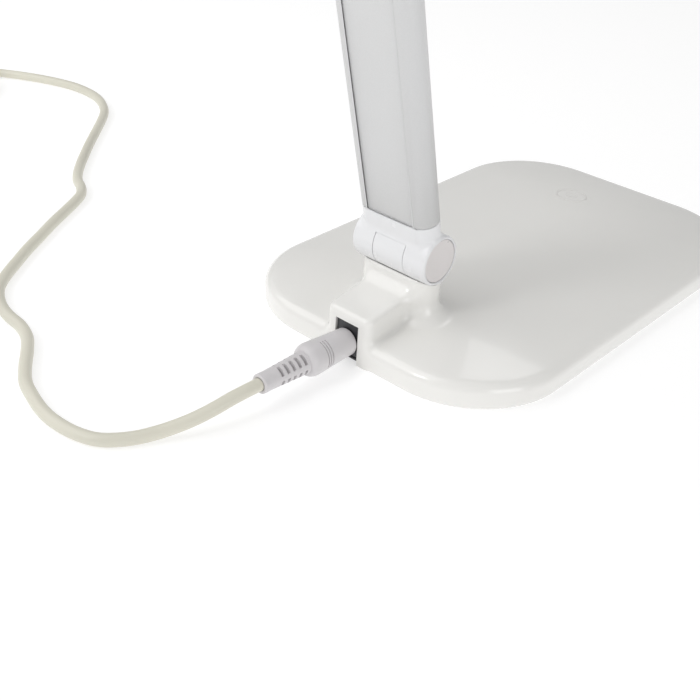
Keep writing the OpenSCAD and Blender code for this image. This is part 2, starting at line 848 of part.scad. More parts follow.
// Long casing of the head: rounded above, open below for the light
module head_shell() {
    color("white") in_head() difference() {
        translate([0, head_mid, 0]) loft(concat(
            [[head_w - 1, head_long - 1, head_r - 0.5, 0, 0], [head_w, head_long, head_r, 0.5, 0]],
            [for (a = [0, 22.5, 45, 67.5, 90]) let (i = head_edge * (1 - cos(a)))
                [head_w - 2 * i, head_long - 2 * i, head_r - i,
                    head_t - head_edge + head_edge * sin(a), 0]]));
        translate([0, head_mid, 0])
            plate(head_w - 2 * head_wall, head_long - 2 * head_wall, head_r - head_wall,
                -past, ceiling_z + past);
        translate([0, -head_start, 0])
            block(neck_w, 3 * head_wall, ceiling_z - tongue_h - fit, ceiling_z + run);
        for (y = head_screw_y)
            translate([0, y, 0]) cylinder(r = screw_r + 0.1, h = ceiling_z + 1.2);
    }
}

module led_board() {
    color("white") in_head() translate([0, light_mid, 0])
        plate(led_board_w, light_long, 1, ceiling_z - run - 1.2, 1.2);
}

module leds() {
    color("khaki") in_head() for (x = [-1, 1] * led_board_w / 5)
        for (k = [0:led_count - 1])
            translate([x, light_mid + (k - (led_count - 1) / 2) * led_pitch, 0])
                block(2.8, 3.5, led_z, led_z + 0.8);
}

// Tray with sloping walls round the lamps, between the board and the diffuser
module reflector() {
    color("snow") in_head() translate([0, light_mid, 0]) difference() {
        plate(inner_w, light_long + 4, 3, reflector_z, led_z + 0.8 - fit - reflector_z);
        loft([[inner_w - 1.6, light_long + 2, 2, reflector_z - 0.1, 0],
            [led_board_w - 2, light_long - 4, 1, led_z + past, 0]]);
    }
}

// Frosted cover of the light, set a little into the casing
module diffuser() {
    color("aliceblue") in_head() translate([0, head_mid, 0])
        plate(inner_w, head_long - 2 * head_wall - 2 * fit, head_r - head_wall,
            diffuser_z, diffuser_t);
}

// Metal sleeve of the plug, inside the jack
module plug_barrel() {
    color("silver") on_plug_axis(plug_face - barrel_l) difference() {
        cylinder(r = barrel_r, h = barrel_l);
        translate([0, 0, -past]) cylinder(r = jack_pin_r + 0.45, h = barrel_l + 2 * past);
    }
}

// Moulded body of the plug: a tapered grip with a domed shoulder behind it, and
// three short grooves on each of two sides
module plug_body() {
    r = plug_d / 2;
    r_front = r - plug_taper / 2;
    grip_l = plug_l - shoulder_l;
    color("lavender") on_plug_axis(plug_face) difference() {
        rotate_extrude() polygon(concat(
            [[0, 0], [r_front - 0.5, 0], [r_front, 0.5], [r, grip_l]],
            [for (a = [15:15:90])
                [relief_r + (r - relief_r) * cos(a), grip_l + shoulder_l * sin(a)]],
            [[0, plug_l]]));
        for (k = [0:2])
            translate([0, 0, groove_start + k * groove_pitch]) rotate([0, 0, groove_turn])
                intersection() {
                    difference() {
                        cylinder(r = plug_d, h = groove_w);
                        translate([0, 0, -past])
                            cylinder(r = r - plug_taper / 4 - groove_w, h = 3 * past);
                    }
                    block(3 * plug_d, plug_d * sin(groove_span), -past, past);
                }
    }
}

// Tapered strain relief with five rings of slots between four ribs, and a rounded end
module strain_relief() {
    collar_l = 3.4;
    end_r = relief_r - relief_taper;
    color("lavender") on_plug_axis(relief_start) {
        difference() {
            cylinder(r1 = relief_r, r2 = end_r, h = relief_l - collar_l);
            for (k = [0:4])
                translate([0, 0, slot_start + k * slot_pitch]) rotate([0, 0, web_turn])
                    difference() {
                        cylinder(r = plug_d, h = slot_w);
                        translate([0, 0, -past]) cylinder(r = cord_r + 0.35, h = slot_w + 2 * past);
                        for (a = [0, 90])
                            rotate([0, 0, a]) block(2 * plug_d, web_w, -past, slot_w + past);
                    }
        }
        translate([0, 0, relief_l - collar_l]) rotate_extrude() {
            square([end_r - 0.7, collar_l]);
            translate([0, 0.8]) square([end_r + 0.1, collar_l - 1.6]);
            for (z = [0.8, collar_l - 0.8])
                translate([end_r - 0.7, z]) circle(0.8);
        }
    }
}

module cord_run() {
    color("cornsilk") tube(cord_route, cord_r, 8);
}

module cord_coil() {
    color("cornsilk") tube(coil_path, cord_r, 6);
}

// Strap round the strands of the coil
module cord_tie() {
    w = tie_out - tie_in;
    color("gray") translate([coil_centre[0] + (tie_in + tie_out) / 2, coil_centre[1], 0])
        rotate([90, 0, 0]) translate([0, (tie_top + tie_t) / 2, -tie_l / 2])
            linear_extrude(tie_l) difference() {
                plan(w + 2 * tie_t, tie_top + tie_t, 1.3);
                plan(w, tie_top - tie_t, 0.8);
            }
}

module usb_relief() {
    color("whitesmoke") on_usb(0) rotate([0, 90, 0])
        cylinder(r1 = cord_r + 0.5, r2 = cord_r + 1.6, h = usb_relief_l);
}

// Moulded grip of the far plug, with rounded edges
module usb_body() {
    color("whitesmoke") on_usb(usb_relief_l + usb_body_l / 2)
        loft([for (g = [[0.8, -usb_z], [0, 0.8 - usb_z], [0, usb_z - 0.8], [0.8, usb_z]])
            [usb_body_l - 2 * g[0], usb_body_w - 2 * g[0], 2.4 - g[0], g[1], 0]]);
}

// Folded steel shell of the far plug, with its two square windows
module usb_shell() {
    color("silver") on_usb(usb_relief_l + usb_body_l + usb_shell_l / 2) difference() {
        block(usb_shell_l, usb_shell_w, -usb_shell_t / 2, usb_shell_t / 2);
        translate([usb_wall, 0, 0]) block(usb_shell_l, usb_shell_w - 2 * usb_wall,
            usb_wall - usb_shell_t / 2, usb_shell_t / 2 - usb_wall);
        for (y = [-1, 1] * usb_shell_w / 5)
            translate([0.5, y, 0]) block(2.2, 2.2, 0, usb_shell_t);
    }
}

// Contact carrier in the lower half of the shell
module usb_tongue() {
    low = usb_wall - usb_shell_t / 2 + run;
    color("white") on_usb(usb_relief_l + usb_body_l + usb_shell_l / 2 + usb_wall / 2)
        block(usb_shell_l - usb_wall - 1, usb_shell_w - 2 * usb_wall - 2 * run, low, low + 1.6);
}

base_top_shell();
base_bottom_plate();
base_pad();
base_screws();
counterweight();
control_board();
touch_sensor();
base_wires();
dc_jack();
jack_pin();
hinge_barrel();
hinge_screw();
lower_washers();
lower_shaft();
lower_nuts();
lower_caps();
arm_collar();
arm_profile();
arm_rear_panel();
arm_front_panel();
arm_screws();
arm_wires();
head_bracket();
upper_shaft();
upper_nuts();
upper_caps();
head_barrel();
upper_washers();
head_screws();
head_shell();
led_board();
leds();
reflector();
diffuser();
plug_barrel();
plug_body();
strain_relief();
cord_run();
cord_coil();
cord_tie();
usb_relief();
usb_body();
usb_shell();
usb_tongue();
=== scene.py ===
"""Folding desk lamp: looks, detailed pieces, cord, studio light and camera."""
import math

import bmesh
import bpy
import numpy as np
from mathutils import Matrix, Vector


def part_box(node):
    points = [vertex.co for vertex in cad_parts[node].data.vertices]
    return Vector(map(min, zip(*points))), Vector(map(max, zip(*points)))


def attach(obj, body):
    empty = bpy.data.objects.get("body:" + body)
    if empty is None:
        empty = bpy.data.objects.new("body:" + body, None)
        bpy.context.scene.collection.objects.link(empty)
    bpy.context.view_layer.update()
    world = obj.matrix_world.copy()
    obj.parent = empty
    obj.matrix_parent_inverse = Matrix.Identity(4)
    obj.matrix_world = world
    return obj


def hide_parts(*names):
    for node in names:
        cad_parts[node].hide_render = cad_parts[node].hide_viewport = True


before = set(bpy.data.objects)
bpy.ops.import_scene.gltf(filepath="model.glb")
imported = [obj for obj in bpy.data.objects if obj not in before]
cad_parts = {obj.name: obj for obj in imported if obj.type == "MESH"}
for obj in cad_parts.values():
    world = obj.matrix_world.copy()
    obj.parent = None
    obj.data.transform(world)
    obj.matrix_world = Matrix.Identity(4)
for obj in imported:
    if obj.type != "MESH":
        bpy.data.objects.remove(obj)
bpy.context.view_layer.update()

MM = 0.001
sin, cos, tan, pi = math.sin, math.cos, math.tan, math.pi
rad = math.radians


# ---- Measures of the lamp in millimetres, as in the part ----
BASE_W, BASE_L, CORNER_R = 111.0, 168.6, 33.0
RIM_H, RIM_R, RIM_ANGLE, CROWN_H, CROWN_INSET = 5.3, 3.6, 81.0, 3.9, 50.0
RIM_TOP = RIM_H + RIM_R * sin(rad(RIM_ANGLE))
RIM_INSET = RIM_R * (1 - cos(rad(RIM_ANGLE)))
SHELL_Z, SHELL_T, FOOT_INSET, FOOT_TOP, FOOT_H = 0.3, 2.0, 1.3, 2.1, 1.8
HINGE_Y, HINGE_Z, KNUCKLE_R = 59.7, 31.5, 8.0
HINGE_LEN, MID_LEN = 28.8, 12.0
HOUSING_W, HOUSING_H, HOUSING_SLOPE, HOUSING_R = 17.4, 17.0, rad(9.5), 2.6
PEDESTAL_W, PEDESTAL_L, PEDESTAL_R, PEDESTAL_TOP = 28.0, 10.4, 5.1, 24.6
JACK_W, JACK_H, JACK_L, JACK_Y, JACK_Z = 8.9, 12.5, 14.0, 83.6, 1.4
ARM_LEN, ARM_W, ARM_T, LEAN, COLLAR_H = 250.0, 27.6, 10.0, rad(13.9), 13.2
ARM_R = ARM_T / 2 - 0.05
ARM_SCREW_X, ARM_SCREW_Z = 6.6, 23.2
TONGUE_X, TONGUE_Y, TONGUE_FOOT, FIT = 4.8, 2.5, 12.0, 0.15
HEAD_OFFSET = 6.2
PLUG_Z, PLUG_TILT, PLUG_R, PLUG_L, RELIEF_L = 7.2, rad(1.7), 5.25, 18.8, 17.6
PLUG_FACE = JACK_Y + 0.5
RELIEF_START = PLUG_FACE + PLUG_L
RELIEF_END = RELIEF_START + RELIEF_L
CORD_D = 4.0


def plug_at(y):
    """Point on the plug's axis."""
    return (0, JACK_Y + (y - JACK_Y) * cos(PLUG_TILT), PLUG_Z + (y - JACK_Y) * sin(PLUG_TILT))


# ---- Camera, fitted to the measured edges ----
def make_camera():
    """Camera at the photograph's view."""
    focal_px, picture_px, sensor = 1066.5, 700, 36.0
    e, a, roll = rad(32.73), rad(220.94), rad(3.33)
    back = Vector((sin(a) * cos(e), -cos(a) * cos(e), sin(e)))
    right = Vector((cos(a), sin(a), 0))
    up = back.cross(right)
    x_axis = cos(roll) * right + sin(roll) * up
    y_axis = cos(roll) * up - sin(roll) * right
    data = bpy.data.cameras.new("camera")
    data.sensor_width, data.lens = sensor, sensor * focal_px / picture_px
    data.clip_start, data.clip_end = 0.01, 20
    camera = bpy.data.objects.new("camera", data)
    bpy.context.scene.collection.objects.link(camera)
    turn = Matrix((x_axis, y_axis, back)).transposed().to_4x4()
    camera.matrix_world = Matrix.Translation(Vector((-181.08, 290.92, 180.69)) * MM) @ turn
    bpy.context.scene.camera = camera


make_camera()

# ---- Cord: its route on the table, its coil and the tail to the far plug ----
ROUTE = [plug_at(RELIEF_END), plug_at(RELIEF_END + 5), (0.8, 130.3, 7.7),
    (1.7, 134.9, 6.6), (3.2, 139.3, 5.2), (5.1, 143.8, 3.9), (7.9, 149.6, 2.6),
    (11.4, 156.5, 2), (16.7, 163.1, 2), (23.7, 166.1, 2), (31.7, 167.1, 2),
    (38.7, 166.6, 2), (46.8, 164.6, 2), (53.8, 162.1, 2), (60.8, 157.6, 2),
    (67.3, 152.7, 2), (73.9, 148.5, 2), (80.9, 146.3, 2), (87.9, 145.7, 2),
    (94.4, 144.3, 2), (100.9, 141.5, 2), (107, 137.3, 2), (112.5, 131, 2),
    (118, 123.4, 2), (123, 116.4, 2), (129, 106.9, 2), (135.1, 97.4, 2),
    (140.1, 88.8, 2), (144.6, 81.3, 2), (148.6, 75.8, 2), (154.1, 71.8, 2),
    (160.1, 69.1, 2), (166.2, 64.7, 2), (173.2, 58.4, 2), (180.2, 51.5, 2),
    (187.2, 44.4, 2), (194.3, 36.9, 2), (201.3, 29.4, 2), (208.3, 22.1, 2),
    (215.3, 15.6, 2), (223.4, 10.6, 2), (232.4, 7, 2), (241.3, 5.7, 2),
    (251.3, 5.9, 2), (261.3, 8.1, 2), (270.8, 11.7, 2.1), (279.8, 16.1, 2.2),
    (288.3, 21.5, 2.4), (296.3, 27.6, 2.6), (304.3, 34.1, 2.8), (308.3, 38.1, 2.8)]
COIL_R, COIL_TURNS, COIL_GAP, COIL_LIFT, COIL_STEPS = 28.5, 5.25, 0.45, 0.8, 24
COIL_PITCH = CORD_D + COIL_GAP
COIL_LOW = CORD_D / 2 + COIL_LIFT
COIL_HIGH = COIL_LOW + COIL_PITCH
COIL_HEADING = rad(45)
COIL_START = COIL_HEADING - pi / 2
COIL_CENTRE = (ROUTE[-1][0] + CORD_D * cos(COIL_HEADING) - COIL_R * cos(COIL_START),
               ROUTE[-1][1] + CORD_D * sin(COIL_HEADING) - COIL_R * sin(COIL_START))
CLIMB = 0.25
USB_Z, TAIL_LEVEL, TAIL_DROP = 4.2, 13.0, 18.0
TAIL_HEADING = COIL_START + 2 * pi * COIL_TURNS + pi / 2
TAIL_LEN = TAIL_LEVEL + TAIL_DROP + 2 * CORD_D
TAIL_FROM, TAIL_STEP = 5.0, 4.5


def ease(t):
    """0 to 1, slow at both ends."""
    t = min(1.0, max(0.0, t))
    return t * t * (3 - 2 * t)


def coil_point(t):
    """Point of the coil after t turns: inward on the lower layer, outward on the upper."""
    a = COIL_START + 2 * pi * t
    r = COIL_R - COIL_PITCH * min(t, COIL_TURNS - t)
    climb = ease((t - COIL_TURNS / 2 + CLIMB) / (2 * CLIMB))
    return (COIL_CENTRE[0] + r * cos(a), COIL_CENTRE[1] + r * sin(a),
            COIL_LOW + (COIL_HIGH - COIL_LOW) * climb)


def tail_point(s):
    """Point of the straight tail at a distance from the coil's end."""
    start = coil_point(COIL_TURNS)
    drop = ease((s - TAIL_LEVEL) / TAIL_DROP)
    return (start[0] + s * cos(TAIL_HEADING), start[1] + s * sin(TAIL_HEADING),
            COIL_HIGH + (USB_Z - COIL_HIGH) * drop)


def eased_through(points, per_span):
    """Points of a smooth curve through the given ones."""
    p = [Vector(q) for q in points]
    p = [2 * p[0] - p[1]] + p + [2 * p[-1] - p[-2]]
    out = []
    for i in range(1, len(p) - 2):
        a, b, c, d = p[i - 1:i + 3]
        for k in range(per_span):
            t = k / per_span
            out.append(0.5 * (2 * b + (c - a) * t + (2 * a - 5 * b + 4 * c - d) * t * t
                              + (3 * b - a - 3 * c + d) * t ** 3))
    return out + [p[-2]]


# ---- Frames of the lamp, in millimetres ----
ON_HINGE = Matrix.Translation((0, HINGE_Y, HINGE_Z))
IN_ARM = ON_HINGE @ Matrix.Rotation(-LEAN, 4, "X")
IN_ARM_TOP = IN_ARM @ Matrix.Translation((0, -HEAD_OFFSET, ARM_LEN))
IN_HEAD = Matrix.Translation(IN_ARM_TOP.translation)
ALONG_X = Matrix.Rotation(pi / 2, 4, "Y")


def on_plug(y):
    """Frame on the plug's axis, Z along it."""
    return Matrix.Translation(plug_at(y)) @ Matrix.Rotation(PLUG_TILT - pi / 2, 4, "X")


def on_usb(x):
    """Frame on the far plug's axis, X along it."""
    return (Matrix.Translation(tail_point(TAIL_LEN)) @ Matrix.Rotation(TAIL_HEADING, 4, "Z")
            @ Matrix.Translation((x, 0, 0)))


# ---- Materials: plain arithmetic on sockets, and one call for any other node ----
class Wire:
    """An output of a material's node, with the usual operators."""

    def __init__(self, look, socket):
        self.look, self.socket = look, socket

    def maths(self, operation, *others):
        return self.look.node("Math", {"operation": operation}, dict(enumerate((self, *others))))

    def __add__(self, other):
        return self.maths("ADD", other)

    def __sub__(self, other):
        return self.maths("SUBTRACT", other)

    def __mul__(self, other):
        return self.maths("MULTIPLY", other)

    def __pow__(self, other):
        return self.maths("POWER", other)

    __radd__ = __add__

    def least(self, other):
        return self.maths("MINIMUM", other)

    def step(self, low, high):
        """0 below low, 1 above high, eased between them."""
        return self.look.node("MapRange", {"interpolation_type": "SMOOTHSTEP"},
                              {"Value": self, "From Min": low, "From Max": high})


class Look:
    """A material, with its main shader and its nodes."""

    def __init__(self, name, colour, roughness, **constants):
        self.material = bpy.data.materials.new(name)
        self.material.use_nodes = True
        self.tree = self.material.node_tree
        self.tree.nodes.clear()
        self.shader = self.tree.nodes.new("ShaderNodeBsdfPrincipled")
        out = self.tree.nodes.new("ShaderNodeOutputMaterial")
        self.tree.links.new(self.shader.outputs[0], out.inputs[0])
        self.set(Base_Color=colour, Roughness=roughness, **constants)

    def set(self, **sockets):
        for key, value in sockets.items():
            self.feed(self.shader.inputs[key.replace("_", " ")], value)

    def feed(self, socket, value):
        if isinstance(value, Wire):
            self.tree.links.new(value.socket, socket)
        elif isinstance(value, (tuple, list)) and len(value) == 3 and socket.type == "RGBA":
            socket.default_value = (*value, 1)
        else:
            socket.default_value = value

    def node(self, kind, settings=None, inputs=None, output=0):
        made = self.tree.nodes.new("ShaderNode" + kind)
        for key, value in (settings or {}).items():
            setattr(made, key, value)
        for key, value in (inputs or {}).items():
            self.feed(made.inputs[key], value)
        return Wire(self, made.outputs[output])

    def place(self, scale=(1, 1, 1)):
        """Object coordinates, scaled."""
        where = self.node("TexCoord", output="Object")
        return self.node("Mapping", {}, {"Vector": where, "Scale": scale})

    def axes(self, where):
        return [self.node("SeparateXYZ", {}, {0: where}, output=k) for k in range(3)]

    def noise(self, where, scale, detail=3.0, rough=0.5):
        return self.node("TexNoise", {}, {"Vector": where, "Scale": scale, "Detail": detail,
                                          "Roughness": rough})

    def cells(self, where, scale, **settings):
        return self.node("TexVoronoi", settings, {"Vector": where, "Scale": scale})

    def blend(self, share, a, b):
        """Colour between a and b."""
        return self.node("Mix", {"data_type": "RGBA"}, {0: share, 6: a, 7: b}, output=2)

    def bump(self, height, strength, distance):
        return self.node("Bump", {}, {"Height": height, "Strength": strength,
                                      "Distance": distance})


def shade(colour, factor):
    """The colour, darker or lighter."""
    return tuple(c * factor for c in colour)


def moulded(name, colour, roughness, ripple, grain, mottle, **constants):
    """Moulded plastic: a faint ripple, fine grain, and slight changes of tone and gloss."""
    look = Look(name, colour, roughness, **constants)
    where = look.place()
    cloud = look.noise(where, scale=26.0, detail=2.0)
    fine = look.noise(where, scale=grain, detail=4.0)
    smear = look.noise(where, scale=90.0, detail=5.0, rough=0.6)
    look.set(Base_Color=look.blend(cloud.step(0.35, 0.65), shade(colour, 1 - mottle), colour),
             Roughness=roughness + (smear - 0.5) * (roughness * 0.5),
             Normal=look.bump(fine * 0.35 + cloud, ripple, 0.00012))
    return look


STREAK = (400, 400, 400)


def metal(name, colour, roughness, strength=0.15):
    """Bright metal with fine streaks and slight smears."""
    look = Look(name, colour, roughness, Metallic=1.0)
    lines = look.noise(look.place(scale=STREAK), scale=1.0, detail=4.0, rough=0.6)
    smear = look.noise(look.place(), scale=120.0, detail=4.0, rough=0.6)
    look.set(Base_Color=look.blend(smear.step(0.3, 0.7), shade(colour, 0.85), colour),
             Roughness=roughness + (smear - 0.5) * 0.2 + (lines - 0.5) * 0.12,
             Normal=look.bump(lines, strength, 0.00006))
    return look


def foamed():
    """Closed-cell foam: small round cells."""
    look = Look("foam", (0.045, 0.045, 0.047), 0.92)
    cells = look.cells(look.place(), scale=1100.0, feature="SMOOTH_F1")
    cloud = look.noise(look.place(), scale=60.0, detail=4.0)
    look.set(Base_Color=look.blend(cells, (0.025, 0.025, 0.027), (0.075, 0.075, 0.078)),
             Roughness=0.86 + cloud * 0.12, Normal=look.bump(cells, 0.7, 0.0004))
    return look


def circuit(name, mask, track):
    """Lacquered board with a network of tracks under the lacquer."""
    look = Look(name, mask, 0.3)
    lanes = look.cells(look.place(), scale=260.0, feature="DISTANCE_TO_EDGE",
                       distance="MANHATTAN")
    fine = look.noise(look.place(), scale=900.0)
    look.set(Base_Color=look.blend(lanes.step(0.03, 0.07), track, mask),
             Roughness=0.26 + fine * 0.12, Normal=look.bump(lanes.least(0.08), 0.3, 0.0005))
    return look


def woven(name, colour):
    """Strap with a fine loop pile."""
    look = Look(name, colour, 0.85)
    pile = look.cells(look.place(scale=(1, 2, 1)), scale=1500.0, feature="F1")
    wear = look.noise(look.place(), scale=160.0, detail=4.0)
    look.set(Base_Color=look.blend(pile, shade(colour, 0.6), shade(colour, 1.3)),
             Roughness=0.78 + wear * 0.15, Normal=look.bump(pile, 0.8, 0.0005))
    return look


def anodised(name, colour, roughness, along):
    """Satin anodised metal: fine blasted grain, with faint drawing lines along one axis."""
    look = Look(name, colour, roughness, Metallic=0.55)
    grain = look.noise(look.place(), scale=2600.0)
    lines = look.noise(look.place(scale=along), scale=1.0)
    cloud = look.noise(look.place(), scale=40.0)
    look.set(Base_Color=look.blend(grain.step(0.3, 0.7), shade(colour, 0.975), colour),
             Roughness=roughness + (cloud - 0.5) * 0.12 + (lines - 0.5) * 0.10,
             Normal=look.bump(grain * 0.5 + lines * 0.5, 0.06, 0.00006))
    return look


def cap_look():
    """Smooth cap with a little dirt caught round its rim."""
    colour = (0.73, 0.70, 0.695)
    look = moulded("cap_plastic", colour, 0.34, 0.08, 1500.0, 0.02)
    _, y, z = look.axes(look.place())
    reach = []
    for hinge in (IN_ARM, IN_ARM_TOP):
        centre = hinge.translation * MM
        reach.append(((y - centre.y) ** 2 + (z - centre.z) ** 2) ** 0.5)
    rim = reach[0].least(reach[1]).step(0.0058, 0.0066)
    dirt = look.noise(look.place(), scale=520.0, detail=2.0).step(0.62, 0.68) * rim
    look.set(Base_Color=look.blend(dirt * 0.8, colour, (0.16, 0.14, 0.12)))
    return look


# Moulded ones: material's name, colour, roughness, ripple, grain, mottle
MOULDED = {
    "touch_ring": ("touch_ring", (0.76, 0.75, 0.725), 0.3, 0.1, 1400.0, 0.05),
    "cool_white": ("cool_white", (0.80, 0.803, 0.815), 0.26, 0.06, 1600.0, 0.012),
    "plug_plastic": ("plug_plastic", (0.655, 0.635, 0.645), 0.42, 0.2, 1500.0, 0.03),
    "cord": ("cord_sheath", (0.72, 0.70, 0.60), 0.40, 0.25, 1100.0, 0.06),
    "white_plastic": ("white_plastic", (0.80, 0.80, 0.78), 0.5, 0.3, 1300.0, 0.03),
    "black_plastic": ("black_plastic", (0.035, 0.035, 0.04), 0.38, 0.35, 1500.0, 0.2),
    "wire": ("wire", (0.45, 0.02, 0.02), 0.4, 0.2, 1800.0, 0.1),
    "led": ("led_phosphor", (0.85, 0.66, 0.12), 0.35, 0.3, 2500.0, 0.12)}
looks = {slot: moulded(*values) for slot, values in MOULDED.items()}
looks["white_gloss"] = moulded("white_gloss", (0.85, 0.842, 0.815), 0.2, 0.035, 1400.0, 0.012,
                               Coat_Weight=0.35, Coat_Roughness=0.03)
looks["diffuser"] = moulded("diffuser", (0.90, 0.91, 0.92), 0.46, 0.4, 2600.0, 0.02,
                            Transmission_Weight=0.5, IOR=1.49)
looks["cap_plastic"] = cap_look()
looks["foam"] = foamed()
looks["steel"] = metal("steel", (0.72, 0.72, 0.74), 0.26)
looks["iron"] = metal("iron", (0.30, 0.30, 0.31), 0.48, strength=0.4)
looks["brass"] = metal("brass", (0.80, 0.60, 0.28), 0.3)
looks["aluminium"] = anodised("aluminium", (0.655, 0.657, 0.66), 0.42, (2200, 2200, 12))
looks["panel_plastic"] = anodised("panel_strip", (0.685, 0.687, 0.69), 0.46, (1800, 1800, 20))
looks["board"] = circuit("board", (0.02, 0.17, 0.08), (0.04, 0.30, 0.14))
looks["board_white"] = circuit("board_white", (0.80, 0.80, 0.78), (0.70, 0.70, 0.69))
looks["tie"] = woven("tie", (0.06, 0.06, 0.065))


# ---- Shapes: every one is made in millimetres in its own frame, then placed ----


def from_mesh(mesh):
    bm = bmesh.new()
    bm.from_mesh(mesh)
    return bm


WELD = 1e-4


def right_way_out(bm):
    """The shape with its doubled points welded and its normals outward."""
    bmesh.ops.remove_doubles(bm, verts=bm.verts, dist=WELD)
    bmesh.ops.recalc_face_normals(bm, faces=bm.faces)
    return bm


def turned(profile, steps=96, ring=False):
    """Solid of revolution about Z through (radius, height) points."""
    bm = bmesh.new()
    verts = [bm.verts.new((r, 0, z)) for r, z in profile]
    pairs = list(zip(verts, verts[1:])) + ([(verts[-1], verts[0])] if ring else [])
    edges = [bm.edges.new(pair) for pair in pairs]
    bmesh.ops.spin(bm, geom=verts + edges, cent=(0, 0, 0), axis=(0, 0, 1), dvec=(0, 0, 0),
                   angle=2 * pi, steps=steps, use_merge=True, use_duplicate=False)
    return right_way_out(bm)


def swept(outline, angle, middle, steps):
    """(radius, height) outline swept about Z through an angle round the direction middle."""
    bm = bmesh.new()
    face = bm.faces.new([bm.verts.new((r, 0, z)) for r, z in outline])
    bmesh.ops.spin(bm, geom=[face], cent=(0, 0, 0), axis=(0, 0, 1), dvec=(0, 0, 0),
                   angle=rad(angle), steps=steps, use_duplicate=False)
    bm.transform(Matrix.Rotation(rad(middle - angle / 2), 4, "Z"))
    return right_way_out(bm)


def cylinder(r, z0, z1, place=Matrix(), steps=32):
    """Cylinder along Z, then placed."""
    bm = turned([(0, z0), (r, z0), (r, z1), (0, z1)], steps)
    bm.transform(place)
    return bm


def arc(cx, cy, r, a0, a1, steps=6):
    """Points of an arc from angle a0 to a1, in degrees."""
    return [(cx + r * cos(rad(a0 + (a1 - a0) * k / steps)),
             cy + r * sin(rad(a0 + (a1 - a0) * k / steps))) for k in range(steps + 1)]


def rounded(w, l, r, steps=8, cx=0.0, cy=0.0):
    """Outline of a rounded rectangle."""
    out = []
    for q, (sx, sy) in enumerate(((1, 1), (-1, 1), (-1, -1), (1, -1))):
        out += arc(cx + sx * (w / 2 - r), cy + sy * (l / 2 - r), r, 90 * q, 90 * q + 90, steps)
    return out


def pulled(outline, z0, z1):
    """Outline pulled up from z0 to z1 into a solid."""
    bm = bmesh.new()
    face = bm.faces.new([bm.verts.new((x, y, z0)) for x, y in outline])
    new = bmesh.ops.extrude_face_region(bm, geom=[face])["geom"]
    top = [v for v in new if isinstance(v, bmesh.types.BMVert)]
    bmesh.ops.translate(bm, verts=top, vec=(0, 0, z1 - z0))
    return right_way_out(bm)


def raised(bm, lid, scale, rise):
    """The lid pulled up by rise and scaled in x and y; gives the new lid."""
    new = bmesh.ops.extrude_face_region(bm, geom=[lid])["geom"]
    bmesh.ops.delete(bm, geom=[lid], context="FACES_ONLY")
    lid = [f for f in new if isinstance(f, bmesh.types.BMFace)][0]
    middle = lid.calc_center_median()
    bmesh.ops.scale(bm, verts=lid.verts, vec=(scale[0], scale[1], 1),
                    space=Matrix.Translation(-middle))
    bmesh.ops.translate(bm, verts=lid.verts, vec=(0, 0, rise))
    return lid


def stepped(w, l, r, rings, steps=12):
    """Solid through rounded rectangles, each (inset, height), the lowest first."""
    (inset, z), (inset2, z2) = rings[:2]
    bm = pulled(rounded(w - 2 * inset, l - 2 * inset, r - inset, steps), z, z2)
    lid = max(bm.faces, key=lambda f: f.calc_center_median().z)
    bmesh.ops.scale(bm, verts=lid.verts, vec=((w - 2 * inset2) / (w - 2 * inset),
                                              (l - 2 * inset2) / (l - 2 * inset), 1))
    for (was, low), (inset, z) in zip(rings[1:], rings[2:]):
        lid = raised(bm, lid, ((w - 2 * inset) / (w - 2 * was),
                               (l - 2 * inset) / (l - 2 * was)), z - low)
    return right_way_out(bm)


def block(x0, x1, y0, y1, z0, z1):
    """Box between two values on each axis."""
    return pulled([(x0, y0), (x1, y0), (x1, y1), (x0, y1)], z0, z1)


def softened(bm, width, segments=3, angle=40, where=None):
    """Rounds the edges that turn by more than angle."""
    edges = [e for e in bm.edges if len(e.link_faces) == 2
             and e.calc_face_angle(0) > rad(angle) and (where is None or where(e))]
    bmesh.ops.bevel(bm, geom=edges, offset=width, offset_type="OFFSET", segments=segments,
                    profile=0.5, affect="EDGES", material=-1)
    return bm


def joined(*shapes):
    """Several shapes as one mesh, not fused."""
    bm = bmesh.new()
    for shape in shapes:
        mesh = bpy.data.meshes.new("part")
        shape.to_mesh(mesh)
        bm.from_mesh(mesh)
        bpy.data.meshes.remove(mesh)
    return bm


def stand_in(bm):
    """Helper object with the shape as its mesh."""
    mesh = bpy.data.meshes.new("part")
    bm.to_mesh(mesh)
    obj = bpy.data.objects.new("part", mesh)
    bpy.context.scene.collection.objects.link(obj)
    return obj


def settled(obj, helpers=()):
    """The object's mesh with its modifiers, as a bmesh; the object and helpers go."""
    bpy.context.view_layer.update()
    graph = bpy.context.evaluated_depsgraph_get()
    mesh = bpy.data.meshes.new_from_object(obj.evaluated_get(graph))
    bm = from_mesh(mesh)
    bpy.data.meshes.remove(mesh)
    for item in (obj, *helpers):
        mesh = item.data
        bpy.data.objects.remove(item)
        bpy.data.meshes.remove(mesh)
    return bm


def carved(bm, cuts=(), adds=()):
    """A shape with others fused to it, and others cut from it."""
    obj = stand_in(bm)
    helpers = []
    for kind, shapes in (("UNION", adds), ("DIFFERENCE", cuts)):
        for shape in shapes:
            tool = stand_in(shape)
            modifier = obj.modifiers.new(kind, "BOOLEAN")
            modifier.operation, modifier.object, modifier.solver = kind, tool, "EXACT"
            helpers.append(tool)
    return settled(obj, helpers)


def skinned(bm, voxel):
    """Even skin of small faces round the shapes in bm."""
    obj = stand_in(bm)
    modifier = obj.modifiers.new("skin", "REMESH")
    modifier.mode, modifier.voxel_size, modifier.use_smooth_shade = "VOXEL", voxel, True
    return settled(obj)


def eased(bm, rounds):
    """The shape with its points drawn towards their neighbours."""
    for _ in range(rounds):
        bmesh.ops.smooth_vert(bm, verts=bm.verts, factor=0.5, use_axis_x=True,
                              use_axis_y=True, use_axis_z=True)
    return bm


